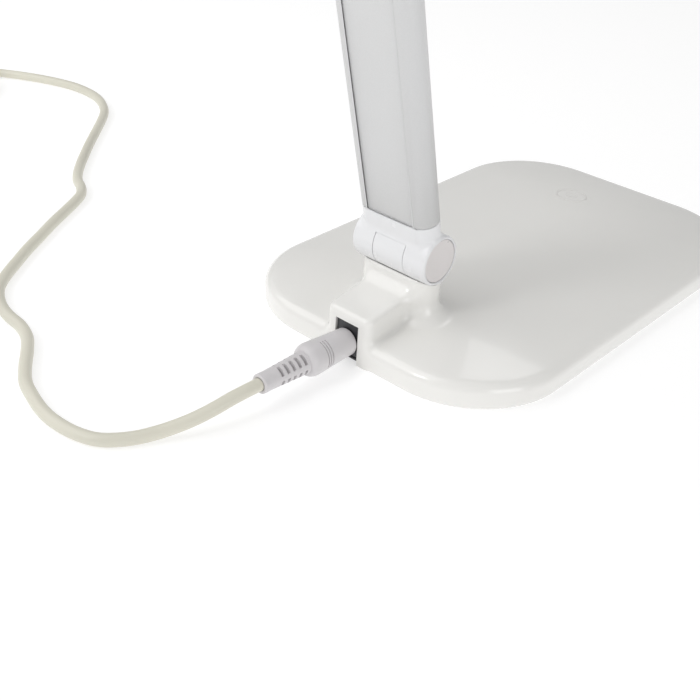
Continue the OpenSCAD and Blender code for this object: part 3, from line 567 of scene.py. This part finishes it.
NEWTON_ROUNDS, PROBE, LEAST_SLOPE, LONGEST_MOVE = 4, 0.01, 0.2, 2.0


def grown(bm, field, voxel):
    """Even skin round the shapes in bm, drawn onto the surface where field is zero."""
    out = skinned(bm, voxel)
    mesh = bpy.data.meshes.new("part")
    out.to_mesh(mesh)
    out.free()
    at = np.empty(len(mesh.vertices) * 3)
    mesh.vertices.foreach_get("co", at)
    at = at.reshape(-1, 3)
    for _ in range(NEWTON_ROUNDS):
        value = field(*at.T)
        slope = np.stack([(field(*(at + PROBE * np.eye(3)[k]).T) - value) / PROBE
                          for k in range(3)], axis=1)
        move = value / np.maximum((slope ** 2).sum(1), LEAST_SLOPE ** 2)
        at = at - np.clip(move, -LONGEST_MOVE, LONGEST_MOVE)[:, None] * slope
    mesh.vertices.foreach_set("co", at.ravel())
    out = from_mesh(mesh)
    bpy.data.meshes.remove(mesh)
    return out


def make(name, bm, body, slot, nodes=(), place=Matrix(), look=None, sharp=32):
    """A finished piece: placed, smooth with its real edges kept sharp, and riding."""
    bm.transform(Matrix.Scale(MM, 4) @ place)
    bmesh.ops.recalc_face_normals(bm, faces=bm.faces)
    mesh = bpy.data.meshes.new(name)
    bm.to_mesh(mesh)
    bm.free()
    mesh.shade_smooth()
    mesh.set_sharp_from_angle(angle=rad(sharp))
    mesh.materials.append(looks[look or slot].material)
    obj = bpy.data.objects.new(name, mesh)
    bpy.context.scene.collection.objects.link(obj)
    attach(obj, body)
    if nodes:
        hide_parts(*nodes)


# ---- Fields: signed distances that give soft moulded forms ----
def plan_distance(u, v, w, l, r):
    """Signed distance to a rounded rectangle."""
    a, b = np.abs(u) - w / 2 + r, np.abs(v) - l / 2 + r
    return np.hypot(np.maximum(a, 0), np.maximum(b, 0)) + np.minimum(np.maximum(a, b), 0) - r


def fillet(a, b, r):
    """Two forms together, with a fillet of radius r between them."""
    return np.maximum(r, np.minimum(a, b)) - np.hypot(np.maximum(r - a, 0), np.maximum(r - b, 0))


def rounding(r, *forms):
    """The common part of forms, its edges rounded to radius r."""
    stack = np.stack(forms)
    return np.minimum(-r, stack.max(0)) + np.sqrt((np.maximum(stack + r, 0) ** 2).sum(0))


def outline_distance(u, v, points):
    """Signed distance to a closed outline, negative inside."""
    nearest = np.full(u.shape, 1e9)
    inside = np.zeros(u.shape, bool)
    for (ax, ay), (bx, by) in zip(points, points[1:] + points[:1]):
        dx, dy = bx - ax, by - ay
        share = np.clip(((u - ax) * dx + (v - ay) * dy) / max(dx * dx + dy * dy, 1e-12), 0, 1)
        nearest = np.minimum(nearest, (u - ax - share * dx) ** 2 + (v - ay - share * dy) ** 2)
        if ay != by:
            inside ^= ((v < ay) != (v < by)) & (u < ax + (v - ay) * dx / dy)
    return np.sqrt(nearest) * np.where(inside, -1, 1)


def skin_height(inset):
    """Height of the base's crown at a distance from its edge."""
    t = min(1.0, max(0.0, (inset - RIM_INSET) / (CROWN_INSET - RIM_INSET)))
    return RIM_TOP + CROWN_H * (1 - (1 - t) ** 2)


HALVINGS, LEAST_CORNER = 24, 0.27


def base_inset(x, y):
    """Distance from the base's edge, measured over its ever squarer outlines."""
    low, high = np.full_like(x, -5.0), np.full_like(x, BASE_W / 2 - 0.8)
    for _ in range(HALVINGS):
        mid = (low + high) / 2
        w = BASE_W - 2 * mid
        corner = np.maximum(CORNER_R - mid, LEAST_CORNER * w)
        out = plan_distance(x, y, w, BASE_L - 2 * mid, corner) > 0
        high, low = np.where(out, mid, high), np.where(out, low, mid)
    return (low + high) / 2


# Section of the base as (inset, height): foot, rim and crown
PAST_MIDDLE = 60
BASE_PROFILE = ([(PAST_MIDDLE, SHELL_Z)]
    + [(FOOT_INSET * (1 - cos(rad(a))), FOOT_TOP - FOOT_H * sin(rad(a)))
       for a in range(90, -1, -15)]
    + [(RIM_R * (1 - cos(rad(a))), RIM_H + RIM_R * sin(rad(a)))
       for a in np.linspace(0, RIM_ANGLE, 19)]
    + [(i, skin_height(i)) for i in np.linspace(RIM_INSET + 1, CROWN_INSET, 40)]
    + [(PAST_MIDDLE, skin_height(CROWN_INSET))])


def base_field(x, y, z):
    """The shell's skin: dome, pedestal and housing with fillets between them."""
    dome = outline_distance(base_inset(x, y), z, BASE_PROFILE)
    pedestal = rounding(0.3, plan_distance(x, y - HINGE_Y, PEDESTAL_W, PEDESTAL_L,
                                           PEDESTAL_R), z - PEDESTAL_TOP)
    rear = y - BASE_L / 2
    top = rear * sin(HOUSING_SLOPE) + (z - HOUSING_H) * cos(HOUSING_SLOPE)
    housing = rounding(HOUSING_R, np.abs(x) - HOUSING_W / 2, rear)
    housing = np.maximum(rounding(1.5, housing, top), HINGE_Y - y)
    blend = 2.0 + 3.0 * np.clip((z - 12) / 6, 0, 1)  # wider towards the hinge
    form = fillet(fillet(dome, pedestal, 5.6), housing, blend)
    return np.maximum(np.maximum(form, rear), SHELL_Z - z)


# Turns a side view, pulled along Z, into place: its x and y become Y and Z
SIDEWAYS = Matrix(((0, 0, 1, 0), (1, 0, 0, 0), (0, 1, 0, 0), (0, 0, 0, 1)))


def make_base_shell():
    """Top shell with its pedestal and jack housing in one moulding, open below."""
    # Rough solids, which the field then trues
    rings = [(FOOT_INSET, SHELL_Z), (0, FOOT_TOP), (0, RIM_H), (1.05, 7.85),
             (RIM_INSET, RIM_TOP)] + [(inset, skin_height(inset)) for inset in (12, 28, 48)]
    dome = stepped(BASE_W, BASE_L, CORNER_R, rings)
    pedestal = pulled(rounded(PEDESTAL_W, PEDESTAL_L, PEDESTAL_R, 10, 0, HINGE_Y), 5,
                      PEDESTAL_TOP)
    side = [(HINGE_Y, SHELL_Z), (BASE_L / 2, SHELL_Z), (BASE_L / 2, HOUSING_H),
            (HINGE_Y, HOUSING_H + (BASE_L / 2 - HINGE_Y) * tan(HOUSING_SLOPE))]
    housing = pulled(side, -HOUSING_W / 2, HOUSING_W / 2)
    housing.transform(SIDEWAYS)
    right_way_out(housing)
    shell = grown(joined(dome, pedestal, housing), base_field, 0.7)
    # The inside, a wall's thickness below the skin, and the seats of hinge, jack and screw
    hollow = stepped(BASE_W, BASE_L, CORNER_R, [(SHELL_T, -2), (SHELL_T, RIM_H - SHELL_T),
        (6, RIM_TOP - SHELL_T), (22, skin_height(20) - SHELL_T),
        (44, skin_height(44) - SHELL_T)])
    cradle = cylinder(KNUCKLE_R + 0.16, -20, 20, ON_HINGE @ ALONG_X, 128)
    jack_room = block(-JACK_W / 2 - FIT, JACK_W / 2 + FIT, JACK_Y - JACK_L - FIT, JACK_Y + 5,
                      -2, JACK_Z + JACK_H + FIT)
    tongue_room = block(-TONGUE_X - FIT, TONGUE_X + FIT, HINGE_Y - TONGUE_Y - FIT,
                        HINGE_Y + TONGUE_Y + FIT, TONGUE_FOOT - FIT, 30)
    screw_room = cylinder(1.6, -3, 13, Matrix.Translation((0, HINGE_Y, 0)))
    shell = carved(shell, cuts=[hollow, cradle, jack_room, tongue_room, screw_room])
    make("base_shell", shell, "base", "white_gloss", ["base_top_shell"], sharp=38)


MARK_X, MARK_Y = 7, -51


def ridge(r, half, high):
    """Profile of a low ridge at radius r, its foot sunk below the skin."""
    return [(r - half, -0.3), (r - half, high * 0.4), (r - half * 0.6, high),
            (r + half * 0.6, high), (r + half, high * 0.4), (r + half, -0.3)]


def make_touch_mark():
    """Faint raised ring on the crown over the touch electrode, with a power sign in it."""
    ring = turned(ridge(5.7, 0.35, 0.07), 90, ring=True)
    bow = swept(ridge(1.9, 0.2, 0.05), 290, 270, 72)
    stroke = softened(block(-0.22, 0.22, 0.4, 2.5, -0.3, 0.05), 0.03, 2, 60)
    bmesh.ops.subdivide_edges(stroke, edges=stroke.edges, cuts=2, use_grid_fill=True)
    mark = joined(ring, bow, stroke)
    for v in mark.verts:
        x, y = v.co.x + MARK_X, v.co.y + MARK_Y
        v.co = (x, y, v.co.z + skin_height(float(base_inset(np.array([x]), np.array([y]))[0])))
    make("touch_mark", mark, "base", "white_gloss", look="touch_ring")


# ---- Hinges ----
SEAM = 0.2
INNER = (MID_LEN + SEAM) / 2
BARREL = (MID_LEN - SEAM) / 2
CAP_R, CAP_T, CAP_SUNK, SHAFT_R, NUT_R = 6.85, 0.8, 0.25, 2.5, 4.6
CAP_X = HINGE_LEN / 2 - CAP_SUNK


def rod(r, x0, x1, steps=96):
    """Cylinder along X."""
    return cylinder(r, x0, x1, ALONG_X, steps)


def at_both_ends(profile, steps):
    """A turned shape at each end of the hinge."""
    ends = [turned(profile, steps) for side in (0, 1)]
    for side, end in enumerate(ends):
        end.transform(Matrix.Rotation(pi * side, 4, "Z") @ ALONG_X)
    return ends


def ring_bevel(r, x, edge):
    """Profile points that round a turned edge at radius r and height x."""
    return arc(r - edge, x - edge, edge, 0, 90, 4)


def fork_cuts():
    """Room for the middle knuckle, the shaft, and a nut and cap at each end."""
    nut, cap, mouth, seat = NUT_R + 0.6, CAP_R + FIT, CAP_R + 0.4, CAP_X - CAP_T
    profile = [(0, 10.5), (nut, 10.5), (nut, seat), (cap, seat), (cap, HINGE_LEN / 2 - 0.25),
               (mouth, HINGE_LEN / 2 + 0.01), (mouth, 18), (0, 18)]
    return [rod(KNUCKLE_R + SEAM, -INNER, INNER, 128),
            rod(SHAFT_R + 0.05, -20, 20, 48)] + at_both_ends(profile, 96)


def knuckle_field(x, y, z):
    """The outer knuckles' cylinder, its ends rounded."""
    return rounding(0.8, np.hypot(y, z) - KNUCKLE_R, np.abs(x) - HINGE_LEN / 2)


def collar_field(x, y, z):
    """Knuckle and collar with a fillet between them."""
    plate = np.maximum(plan_distance(x, y, ARM_W, ARM_T, ARM_R), z - COLLAR_H)
    return np.maximum(fillet(knuckle_field(x, y, z), plate, 1.1), z - COLLAR_H)


def make_collar():
    """Lower collar: its outer knuckles, its legs into the arm and the wires' channel."""
    plate = pulled(rounded(ARM_W, ARM_T, ARM_R, 10), 0, COLLAR_H)
    knuckle = rod(KNUCKLE_R, -HINGE_LEN / 2, HINGE_LEN / 2)
    collar = eased(grown(joined(knuckle, plate), collar_field, 0.33), 2)
    legs = [softened(block(x0, x1, -2.2, 2.2, COLLAR_H - 0.5, COLLAR_H + 20), 0.4, 2)
            for x0, x1 in ((3, 10.2), (-10.2, -3))]
    channel = block(-2.5, 2.5, -2.2, 2.2, 5, 14.5)
    make("lower_collar", carved(collar, adds=legs, cuts=fork_cuts() + [channel]), "arm",
         "white_gloss", ["arm_collar"], IN_ARM, "cool_white")


def middle_knuckle(adds):
    """Middle knuckle with washer seats in its ends, and the shapes fused to it."""
    bore, seat_r, seat = SHAFT_R + 0.05, 5.8, BARREL - 1
    edge = ring_bevel(KNUCKLE_R, BARREL, 0.1)
    profile = ([(bore, -seat), (seat_r, -seat), (seat_r, -BARREL)]
               + [(r, -x) for r, x in reversed(edge)] + edge
               + [(seat_r, BARREL), (seat_r, seat), (bore, seat)])
    barrel = turned(profile, 128, ring=True)
    barrel.transform(ALONG_X)
    return carved(barrel, adds=adds)


def make_barrel():
    """Lower middle knuckle on its tongue, fixed to the base."""
    tongue = block(-TONGUE_X, TONGUE_X, -TONGUE_Y, TONGUE_Y, TONGUE_FOOT - HINGE_Z,
                   -KNUCKLE_R + 0.6)
    make("lower_barrel", middle_knuckle([softened(tongue, 0.3, 2)]), "base", "white_gloss",
         ["hinge_barrel"], ON_HINGE, "cool_white")


def make_caps(name, node, place):
    """End caps: flat discs with a rounded rim and a shallow turned step."""
    back, step = CAP_X - CAP_T + 0.05, CAP_X - 0.05
    profile = ([(0, back), (CAP_R, back)] + ring_bevel(CAP_R, CAP_X, 0.22)
               + [(CAP_R - 0.8, CAP_X), (CAP_R - 0.95, step), (0, step)])
    make(name, joined(*at_both_ends(profile, 128)), "arm", "cap_plastic", [node], place)


# ---- Arm ----
RECESS_W, RECESS_Y, PANEL_W, PANEL_T = 18.3, 3.3, 17.7, 1.35


def half_outline():
    """The +X half of the arm's outline: a rounded side between the lips of both recesses."""
    lip, inner, top = 0.12, RECESS_W / 2, ARM_T / 2
    side = [(x, y * top / ARM_R) for x, y in arc(ARM_W / 2 - ARM_R, 0, ARM_R, -90, 90, 24)]
    edge = arc(inner + lip, top - lip, lip, 90, 180, 4) + [(inner, RECESS_Y)]
    return [(x, -y) for x, y in reversed(edge)] + side + edge


def make_arm():
    """Extrusion with its cavity and screw holes, and a strip in each recess."""
    outline = half_outline()
    outline += [(-x, y) for x, y in reversed(outline)]
    bar = pulled(outline, COLLAR_H + 0.2, ARM_LEN - COLLAR_H - 0.2)
    softened(bar, 0.12, 2, 60, lambda e: abs(e.verts[0].co.z - e.verts[1].co.z) < 1e-3)
    cuts = [block(-10.5, 10.5, -2.4, 2.4, 0, ARM_LEN)]
    for z in (ARM_SCREW_Z, ARM_LEN - ARM_SCREW_Z):
        for x in (-ARM_SCREW_X, ARM_SCREW_X):
            hole = turned([(0, -4), (1.3, -4), (1.3, 2.95), (2.3, 3.31), (2.3, 4), (0, 4)], 32)
            hole.transform(Matrix.Translation((x, 0, z)) @ Matrix.Rotation(pi / 2, 4, "X"))
            cuts.append(hole)
    make("arm_extrusion", carved(bar, cuts=cuts), "arm", "aluminium", ["arm_profile"], IN_ARM,
         sharp=30)
    for name, side in (("rear", 1), ("front", -1)):
        y0, y1 = sorted(side * (RECESS_Y + 0.05 + t) for t in (0, PANEL_T))
        strip = block(-PANEL_W / 2, PANEL_W / 2, y0, y1, COLLAR_H + 0.05,
                      ARM_LEN - COLLAR_H - 0.05)
        make("arm_strip_" + name, softened(strip, 0.12, 2, 60), "arm", "panel_plastic",
             ["arm_%s_panel" % name], IN_ARM)


# ---- Upper hinge ----
NECK_W, TOP_TONGUE_W, HEAD_SCREWS = 11.75, 10.75, (-16, -28)


def soft_copy(node, voxel, rounds, place):
    """A CAD node's copy in millimetres, in its own frame, with an even skin and eased edges."""
    bm = from_mesh(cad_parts[node].data)
    bm.transform(place.inverted() @ Matrix.Scale(1 / MM, 4))
    bmesh.ops.remove_doubles(bm, verts=bm.verts, dist=WELD)
    return eased(skinned(bm, voxel), rounds)


def head_screw_holes(top):
    return [cylinder(1.3, 3, top, Matrix.Translation((0, y, 0))) for y in HEAD_SCREWS]


def make_upper_hinge():
    """Bracket on the arm's end, and the middle knuckle with its neck into the head."""
    bracket = carved(soft_copy("head_bracket", 0.36, 4, IN_ARM_TOP), cuts=fork_cuts())
    make("upper_collar", bracket, "arm", "white_gloss", ["head_bracket"], IN_ARM_TOP,
         "cool_white")
    neck = softened(block(-NECK_W / 2, NECK_W / 2, -8.6, 0, 0.6, 7.4), 0.3)
    tongue = softened(block(-TOP_TONGUE_W / 2, TOP_TONGUE_W / 2, -34, 0, 4.0, 7.45), 0.25)
    barrel = carved(middle_knuckle([neck, tongue]), cuts=head_screw_holes(9))
    make("upper_barrel", barrel, "head", "white_gloss", ["head_barrel"], IN_HEAD, "cool_white")


# ---- Head ----
HEAD_W, HEAD_T, HEAD_R, HEAD_WALL, HEAD_EDGE = 38.0, 9.5, 7.0, 1.6, 3.4
HEAD_FROM, HEAD_TO, CEILING = -9.0, -232.0, 7.5
HEAD_LONG, HEAD_MID, COVER_W = HEAD_FROM - HEAD_TO, (HEAD_FROM + HEAD_TO) / 2, 34.5
LED_X, LED_PITCH, LED_Z, LED_COUNT, LIGHT_MID = 5.96, 10.06, 5.4, 18, -131.5
LED_W, LED_L, LED_T, LED_RIM = 2.8, 3.5, 0.8, 0.4


def level(z):
    """Picks the edges of a bmesh that lie at height z."""
    return lambda e: all(abs(v.co.z - z) < 1e-3 for v in e.verts)


def head_plan(w, inset, steps):
    """Outline of the head, drawn in by an inset along its length."""
    return rounded(w, HEAD_LONG - 2 * inset, HEAD_R - HEAD_WALL if inset else HEAD_R, steps,
                   0, HEAD_MID)


def make_leds():
    """Two rows of lights, each a white case with a sunk rim and a phosphor pad."""
    cases, pads = [], []
    for k in range(LED_COUNT):
        y = LIGHT_MID + (k - (LED_COUNT - 1) / 2) * LED_PITCH
        for x in (-LED_X, LED_X):
            w, l = LED_W / 2, LED_L / 2
            case = softened(block(x - w, x + w, y - l, y + l, LED_Z, LED_Z + LED_T), 0.12, 2)
            rim = min(case.faces, key=lambda f: f.calc_center_median().z)
            bmesh.ops.inset_region(case, faces=[rim], thickness=0.25, depth=-0.15)
            cases.append(case)
            w, l = w - LED_RIM, l - LED_RIM
            pads.append(softened(block(x - w, x + w, y - l, y + l, LED_Z + 0.04, LED_Z + 0.3),
                                 0.1, 2))
    make("led_cases", joined(*cases), "head", "led", ["leds"], IN_HEAD, "white_plastic")
    make("led_phosphor", joined(*pads), "head", "led", place=IN_HEAD)


def make_head():
    """Casing with its pocket, and the frosted cover over the lights."""
    shell = pulled(head_plan(HEAD_W, 0, 16), 0, HEAD_T)
    softened(shell, HEAD_EDGE, 10, 60, level(HEAD_T))
    softened(shell, 0.5, 3, 60, level(0))
    pocket = pulled(head_plan(HEAD_W - 2 * HEAD_WALL, HEAD_WALL, 12), -1, CEILING)
    neck_room = block(-NECK_W / 2, NECK_W / 2, HEAD_FROM - 2.4, HEAD_FROM + 2.4, 3.85,
                      CEILING + 0.05)
    shell = carved(shell, cuts=[pocket, neck_room] + head_screw_holes(8.7))
    make("head_casing", shell, "head", "white_gloss", ["head_shell"], IN_HEAD)
    cover = pulled(head_plan(COVER_W, HEAD_WALL + FIT, 12), 0.4, 2.4)
    make("head_diffuser", softened(cover, 0.35, 3, 60), "head", "diffuser", ["diffuser"],
         IN_HEAD)
    make_leds()


# ---- Underside ----
SCREW_X, SCREW_Y, SCREW_Z = 43.5, 64.3, 1.05


def make_underside():
    """Foam pad, and six pan-head screws with a cross in each."""
    pad = pulled(rounded(BASE_W - 16, BASE_L - 32, CORNER_R - 8, 24), 0, 1)
    make("foam_pad", softened(pad, 0.3, 3, 60), "base", "foam", ["base_pad"])
    screws = []
    for x, y in [(x, y) for y in (SCREW_Y, 0, -SCREW_Y) for x in (SCREW_X, -SCREW_X)]:
        head = turned([(0, 0)] + arc(1.9, -0.4, 0.8, 90, 0)[1:-1]
                      + [(2.7, -0.5), (2.7, -1.2), (1.2, -1.2), (1.2, -4.35), (0, -4.35)], 48)
        cross = [block(-1.5, 1.5, -0.28, 0.28, -0.8, 1), block(-0.28, 0.28, -1.5, 1.5, -0.8, 1)]
        head = carved(head, cuts=cross)
        head.transform(Matrix.Translation((x, y, SCREW_Z)) @ Matrix.Rotation(pi, 4, "X"))
        screws.append(head)
    make("plate_screws", joined(*screws), "base", "steel", ["base_screws"])


# ---- Jack ----
def make_jack():
    """Jack with its funnelled bore and the slit below it."""
    body = softened(block(-JACK_W / 2, JACK_W / 2, JACK_Y - JACK_L, JACK_Y, JACK_Z,
                          JACK_Z + JACK_H), 0.25, 3)
    bore = turned([(0, -1), (3.7, -1), (3.2, 0), (3.2, 10), (0, 10)], 64)
    bore.transform(Matrix.Translation((0, JACK_Y, PLUG_Z)) @ Matrix.Rotation(pi / 2, 4, "X"))
    slit = block(-3.85, 3.85, JACK_Y - 0.4, JACK_Y + 1, JACK_Z + 0.7, JACK_Z + 1.5)
    make("jack_body", carved(body, cuts=[bore, slit]), "base", "black_plastic", ["dc_jack"])


# ---- Plug and strain relief ----
RELIEF_R, RELIEF_TIP_R, RELIEF_BORE = 3.6, 3.0, 2.0
GRIP_TIP_R, GRIP_EDGE, SHOULDER_L = PLUG_R - 0.85, 0.45, 3.2
GROOVES, GROOVE_Z, GROOVE_STEP, GROOVE_ANGLE = 3, 10.8, 1.0, 104
SLOT_ROWS, SLOT_Z, SLOT_STEP, SLOT_L, SLOT_ANGLE = 5, 1.2, 2.27, 1.1, 64


def make_plug():
    """Tapered soft grip with three fine grooves on two sides and a domed shoulder."""
    grip = PLUG_L - SHOULDER_L
    taper = PLUG_R - GRIP_TIP_R
    profile = ([(0, 0), (GRIP_TIP_R - GRIP_EDGE, 0)]
               + arc(GRIP_TIP_R - GRIP_EDGE, GRIP_EDGE, GRIP_EDGE, -90, 0, 4)[1:]
               + [(GRIP_TIP_R + taper * k / 8, GRIP_EDGE + (grip - GRIP_EDGE) * k / 8)
                  for k in range(1, 9)]
               + [(RELIEF_R + (PLUG_R - RELIEF_R) * cos(rad(a)),
                   grip + SHOULDER_L * sin(rad(a))) for a in range(9, 91, 9)]
               + [(0, PLUG_L)])
    cuts = []
    for k in range(GROOVES):
        z = GROOVE_Z + k * GROOVE_STEP
        r = GRIP_TIP_R + taper * z / grip
        groove = [(r - 0.42, z - 0.16), (r - 0.42, z + 0.16), (r + 0.3, z + 0.26),
                  (r + 0.3, z - 0.26)]
        cuts += [swept(groove, GROOVE_ANGLE, middle, 28) for middle in (30, 210)]
    make("plug_grip", carved(turned(profile, 160), cuts=cuts), "base", "plug_plastic",
         ["plug_body"], on_plug(PLUG_FACE))


def is_radial(edge):
    """Picks the edges that run outward from the Z axis."""
    a, b = edge.verts
    return abs(a.co.xy.length - b.co.xy.length) > 1


def make_relief():
    """Slotted strain relief: five rows of slots between four ribs, and a rounded lip."""
    profile = ([(RELIEF_BORE, 0), (RELIEF_R, 0), (RELIEF_TIP_R, RELIEF_L - 3.2),
                (RELIEF_TIP_R + 0.05, RELIEF_L - 0.8)]
               + arc(RELIEF_TIP_R - 0.5, RELIEF_L - 0.55, 0.55, 0, 90)
               + arc(2.3, RELIEF_L - 0.3, 0.3, 90, 180, 3) + [(RELIEF_BORE, RELIEF_L - 0.6)])
    cuts = []
    for k in range(SLOT_ROWS):
        low = SLOT_Z + k * SLOT_STEP
        slot = [(1.6, low), (6, low), (6, low + SLOT_L), (1.6, low + SLOT_L)]
        cuts += [softened(swept(slot, SLOT_ANGLE, 54 + 90 * side, 16), 0.4, 3, 50, is_radial)
                 for side in range(4)]
    make("plug_relief", carved(turned(profile, 128, ring=True), cuts=cuts), "base",
         "plug_plastic", ["strain_relief"], on_plug(RELIEF_START))


# ---- Lead cord ----
def make_cord():
    """The whole lead as one curve, from the strain relief to the far plug."""
    coil = [coil_point(k / COIL_STEPS) for k in range(int(COIL_TURNS * COIL_STEPS) + 1)]
    tail = [tail_point(s) for s in np.arange(TAIL_FROM, TAIL_LEN - CORD_D + 0.01, TAIL_STEP)]
    path = eased_through(ROUTE + coil + tail + [tail_point(TAIL_LEN)], 4)
    data = bpy.data.curves.new("lead_cord", "CURVE")
    data.dimensions, data.bevel_depth, data.bevel_resolution = "3D", CORD_D / 2 * MM, 5
    data.use_fill_caps = True
    line = data.splines.new("POLY")
    line.points.add(len(path) - 1)
    for point, place in zip(line.points, path):
        point.co = (*(place * MM), 1)
    line.use_smooth = True
    data.materials.append(looks["cord"].material)
    cord = bpy.data.objects.new("lead_cord", data)
    bpy.context.scene.collection.objects.link(cord)
    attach(cord, "base")
    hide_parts("cord_run", "cord_coil")
    length = sum((b - a).length for a, b in zip(path, path[1:])) * MM
    [v * MM for v in plug_at(RELIEF_END)]


# ---- Far plug and tie ----
USB_RELIEF_L, USB_L, USB_W, USB_T, USB_SHELL_L = 9.0, 23.0, 15.6, 8.4, 12.0
USB_SHELL_W, USB_SHELL_T, USB_SHEET = 12.0, 4.5, 0.4
USB_RIBS, USB_RIB_STEP, USB_GROOVES, USB_GROOVE_STEP = 5, 1.75, 5, 1.6


def make_far_relief():
    """Ribbed strain relief of the far plug."""
    ribs = []
    for k in range(USB_RIBS):
        x0 = 0.3 + k * USB_RIB_STEP
        r0 = 2.5 + 1.1 * x0 / USB_RELIEF_L
        ribs += [(r0 + 0.1, x0), (r0 + 0.2, x0 + 0.15), (r0 + 0.28, x0 + 1.0),
                 (r0 + 0.18, x0 + 1.15), (r0 - 0.25, x0 + 1.2), (r0 - 0.2, x0 + 1.7)]
    relief = turned([(0, 0), (2.4, 0)] + ribs[:-2] + [(3.6, USB_RELIEF_L), (0, USB_RELIEF_L)], 96)
    relief.transform(ALONG_X)
    make("far_relief", relief, "base", "plug_plastic", ["usb_relief"], on_usb(0))


def make_far_plug():
    """Flat grip with grooves on both faces, and the folded steel sleeve with two windows."""
    body = pulled(rounded(USB_L, USB_W, 2.4, 10, USB_RELIEF_L + USB_L / 2, 0), -USB_T / 2,
                  USB_T / 2)
    softened(body, 0.8, 5, 60)
    grooves = []
    for k in range(USB_GROOVES):
        x = USB_RELIEF_L + 4 + k * USB_GROOVE_STEP
        for z in (-USB_T / 2, USB_T / 2):
            grooves.append(softened(block(x - 0.35, x + 0.35, -4.6, 4.6, z - 0.25, z + 0.25),
                                    0.1, 2))
    make("far_body", carved(body, cuts=grooves), "base", "plug_plastic", ["usb_body"], on_usb(0))
    x0, x1 = USB_RELIEF_L + USB_L, USB_RELIEF_L + USB_L + USB_SHELL_L
    w, t = USB_SHELL_W / 2, USB_SHELL_T / 2
    sleeve = softened(block(x0, x1, -w, w, -t, t), 0.35, 3, 60,
                      lambda e: abs(e.verts[0].co.x - e.verts[1].co.x) > 1)
    windows = [block(x0 + 5.4, x0 + 7.6, y - 1.1, y + 1.1, -4, 4) for y in (-2.4, 2.4)]
    w, t = w - USB_SHEET, t - USB_SHEET
    inside = block(x0 + USB_SHEET, x1 + 1, -w, w, -t, t)
    make("far_sleeve", carved(sleeve, cuts=[inside] + windows), "base", "steel",
         ["usb_shell"], on_usb(0))


def make_tie():
    """Loop of strap round the coil, where the part has its tie."""
    low, high = [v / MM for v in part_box("cord_tie")]
    size, middle = high - low, (high + low) / 2
    band = pulled(rounded(size.x, size.z, 1.3, 6), -size.y / 2, size.y / 2)
    softened(band, 0.15, 2, 60)
    room = pulled(rounded(size.x - 1, size.z - 1, 0.8, 6), -size.y, size.y)
    make("cord_strap", carved(band, cuts=[room]), "base", "tie", ["cord_tie"],
         Matrix.Translation(middle) @ Matrix.Rotation(pi / 2, 4, "X"))


# ---- Looks of the CAD pieces, by slot ----
SLOTS = {"white_gloss": "base_top_shell hinge_barrel arm_collar head_bracket head_barrel "
                        "head_shell",
         "white_plastic": "base_bottom_plate reflector usb_tongue", "foam": "base_pad",
         "steel": "base_screws jack_pin hinge_screw lower_washers lower_shaft lower_nuts "
                  "arm_screws upper_shaft upper_nuts upper_washers head_screws plug_barrel "
                  "usb_shell",
         "iron": "counterweight", "board": "control_board", "brass": "touch_sensor",
         "wire": "base_wires arm_wires", "black_plastic": "dc_jack",
         "cap_plastic": "lower_caps upper_caps", "aluminium": "arm_profile",
         "panel_plastic": "arm_rear_panel arm_front_panel", "board_white": "led_board",
         "led": "leds", "diffuser": "diffuser",
         "plug_plastic": "plug_body strain_relief usb_relief usb_body",
         "cord": "cord_run cord_coil", "tie": "cord_tie"}


def dress_cad_pieces():
    """Gives each CAD piece the look of its slot."""
    for slot, members in SLOTS.items():
        for member in members.split():
            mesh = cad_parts[member].data
            mesh.materials.clear()
            mesh.materials.append(looks[slot].material)


# ---- Studio: plain pale floor, soft light ----
FLOOR_TONE, FLOOR_GLOW, WORLD_GLOW = 0.5, 0.59, 0.455
# Place and target in metres, sides in metres, power in watts
LIGHTS = {"key": ((0.42, 0.38, 0.62), (0, 0.02, 0.03), (0.8, 0.8), 2.9),
          "fill": ((-0.9, 0.25, 0.25), (0, 0.05, 0.03), (0.5, 0.5), 1.9),
          "lamp": ((0.26, 0.95, 0.75), (0, 0.03, 0.03), (0.22, 0.22), 1.9),
          "softbox": ((0.22, -0.54, 0.74), (-0.04, 0.06, 0.01), (0.26, 0.22), 0.3)}


def make_light(name, place, target, sides, power):
    data = bpy.data.lights.new(name, "AREA")
    data.shape, data.size, data.size_y, data.energy = "RECTANGLE", *sides, power
    light = bpy.data.objects.new(name, data)
    light.location = place
    light.rotation_euler = (Vector(target) - Vector(place)).to_track_quat("-Z", "Y").to_euler()
    bpy.context.scene.collection.objects.link(light)


def make_studio():
    """Bright paper floor, even world light and four soft lamps."""
    bm = bmesh.new()
    bmesh.ops.create_grid(bm, x_segments=1, y_segments=1, size=6)
    floor = stand_in(bm)
    floor.name = floor.data.name = "floor"
    paper = Look("floor_paper", (FLOOR_TONE,) * 3, 0.9, Emission_Color=(1, 1, 1),
                 Emission_Strength=FLOOR_GLOW)
    floor.data.materials.append(paper.material)
    world = bpy.data.worlds.new("studio")
    world.use_nodes = True
    background = world.node_tree.nodes["Background"]
    background.inputs[0].default_value = (1, 1, 1, 1)
    background.inputs[1].default_value = WORLD_GLOW
    bpy.context.scene.world = world
    for name, settings in LIGHTS.items():
        make_light(name, *settings)


# ---- All of it, in order ----
make_base_shell()
make_touch_mark()
make_collar()
make_barrel()
make_caps("lower_end_caps", "lower_caps", IN_ARM)
make_caps("upper_end_caps", "upper_caps", IN_ARM_TOP)
make_arm()
make_upper_hinge()
make_head()
make_underside()
make_jack()
make_plug()
make_relief()
make_far_relief()
make_far_plug()
make_tie()
make_cord()
dress_cad_pieces()
make_studio()
bpy.context.scene.view_settings.view_transform = "Standard"
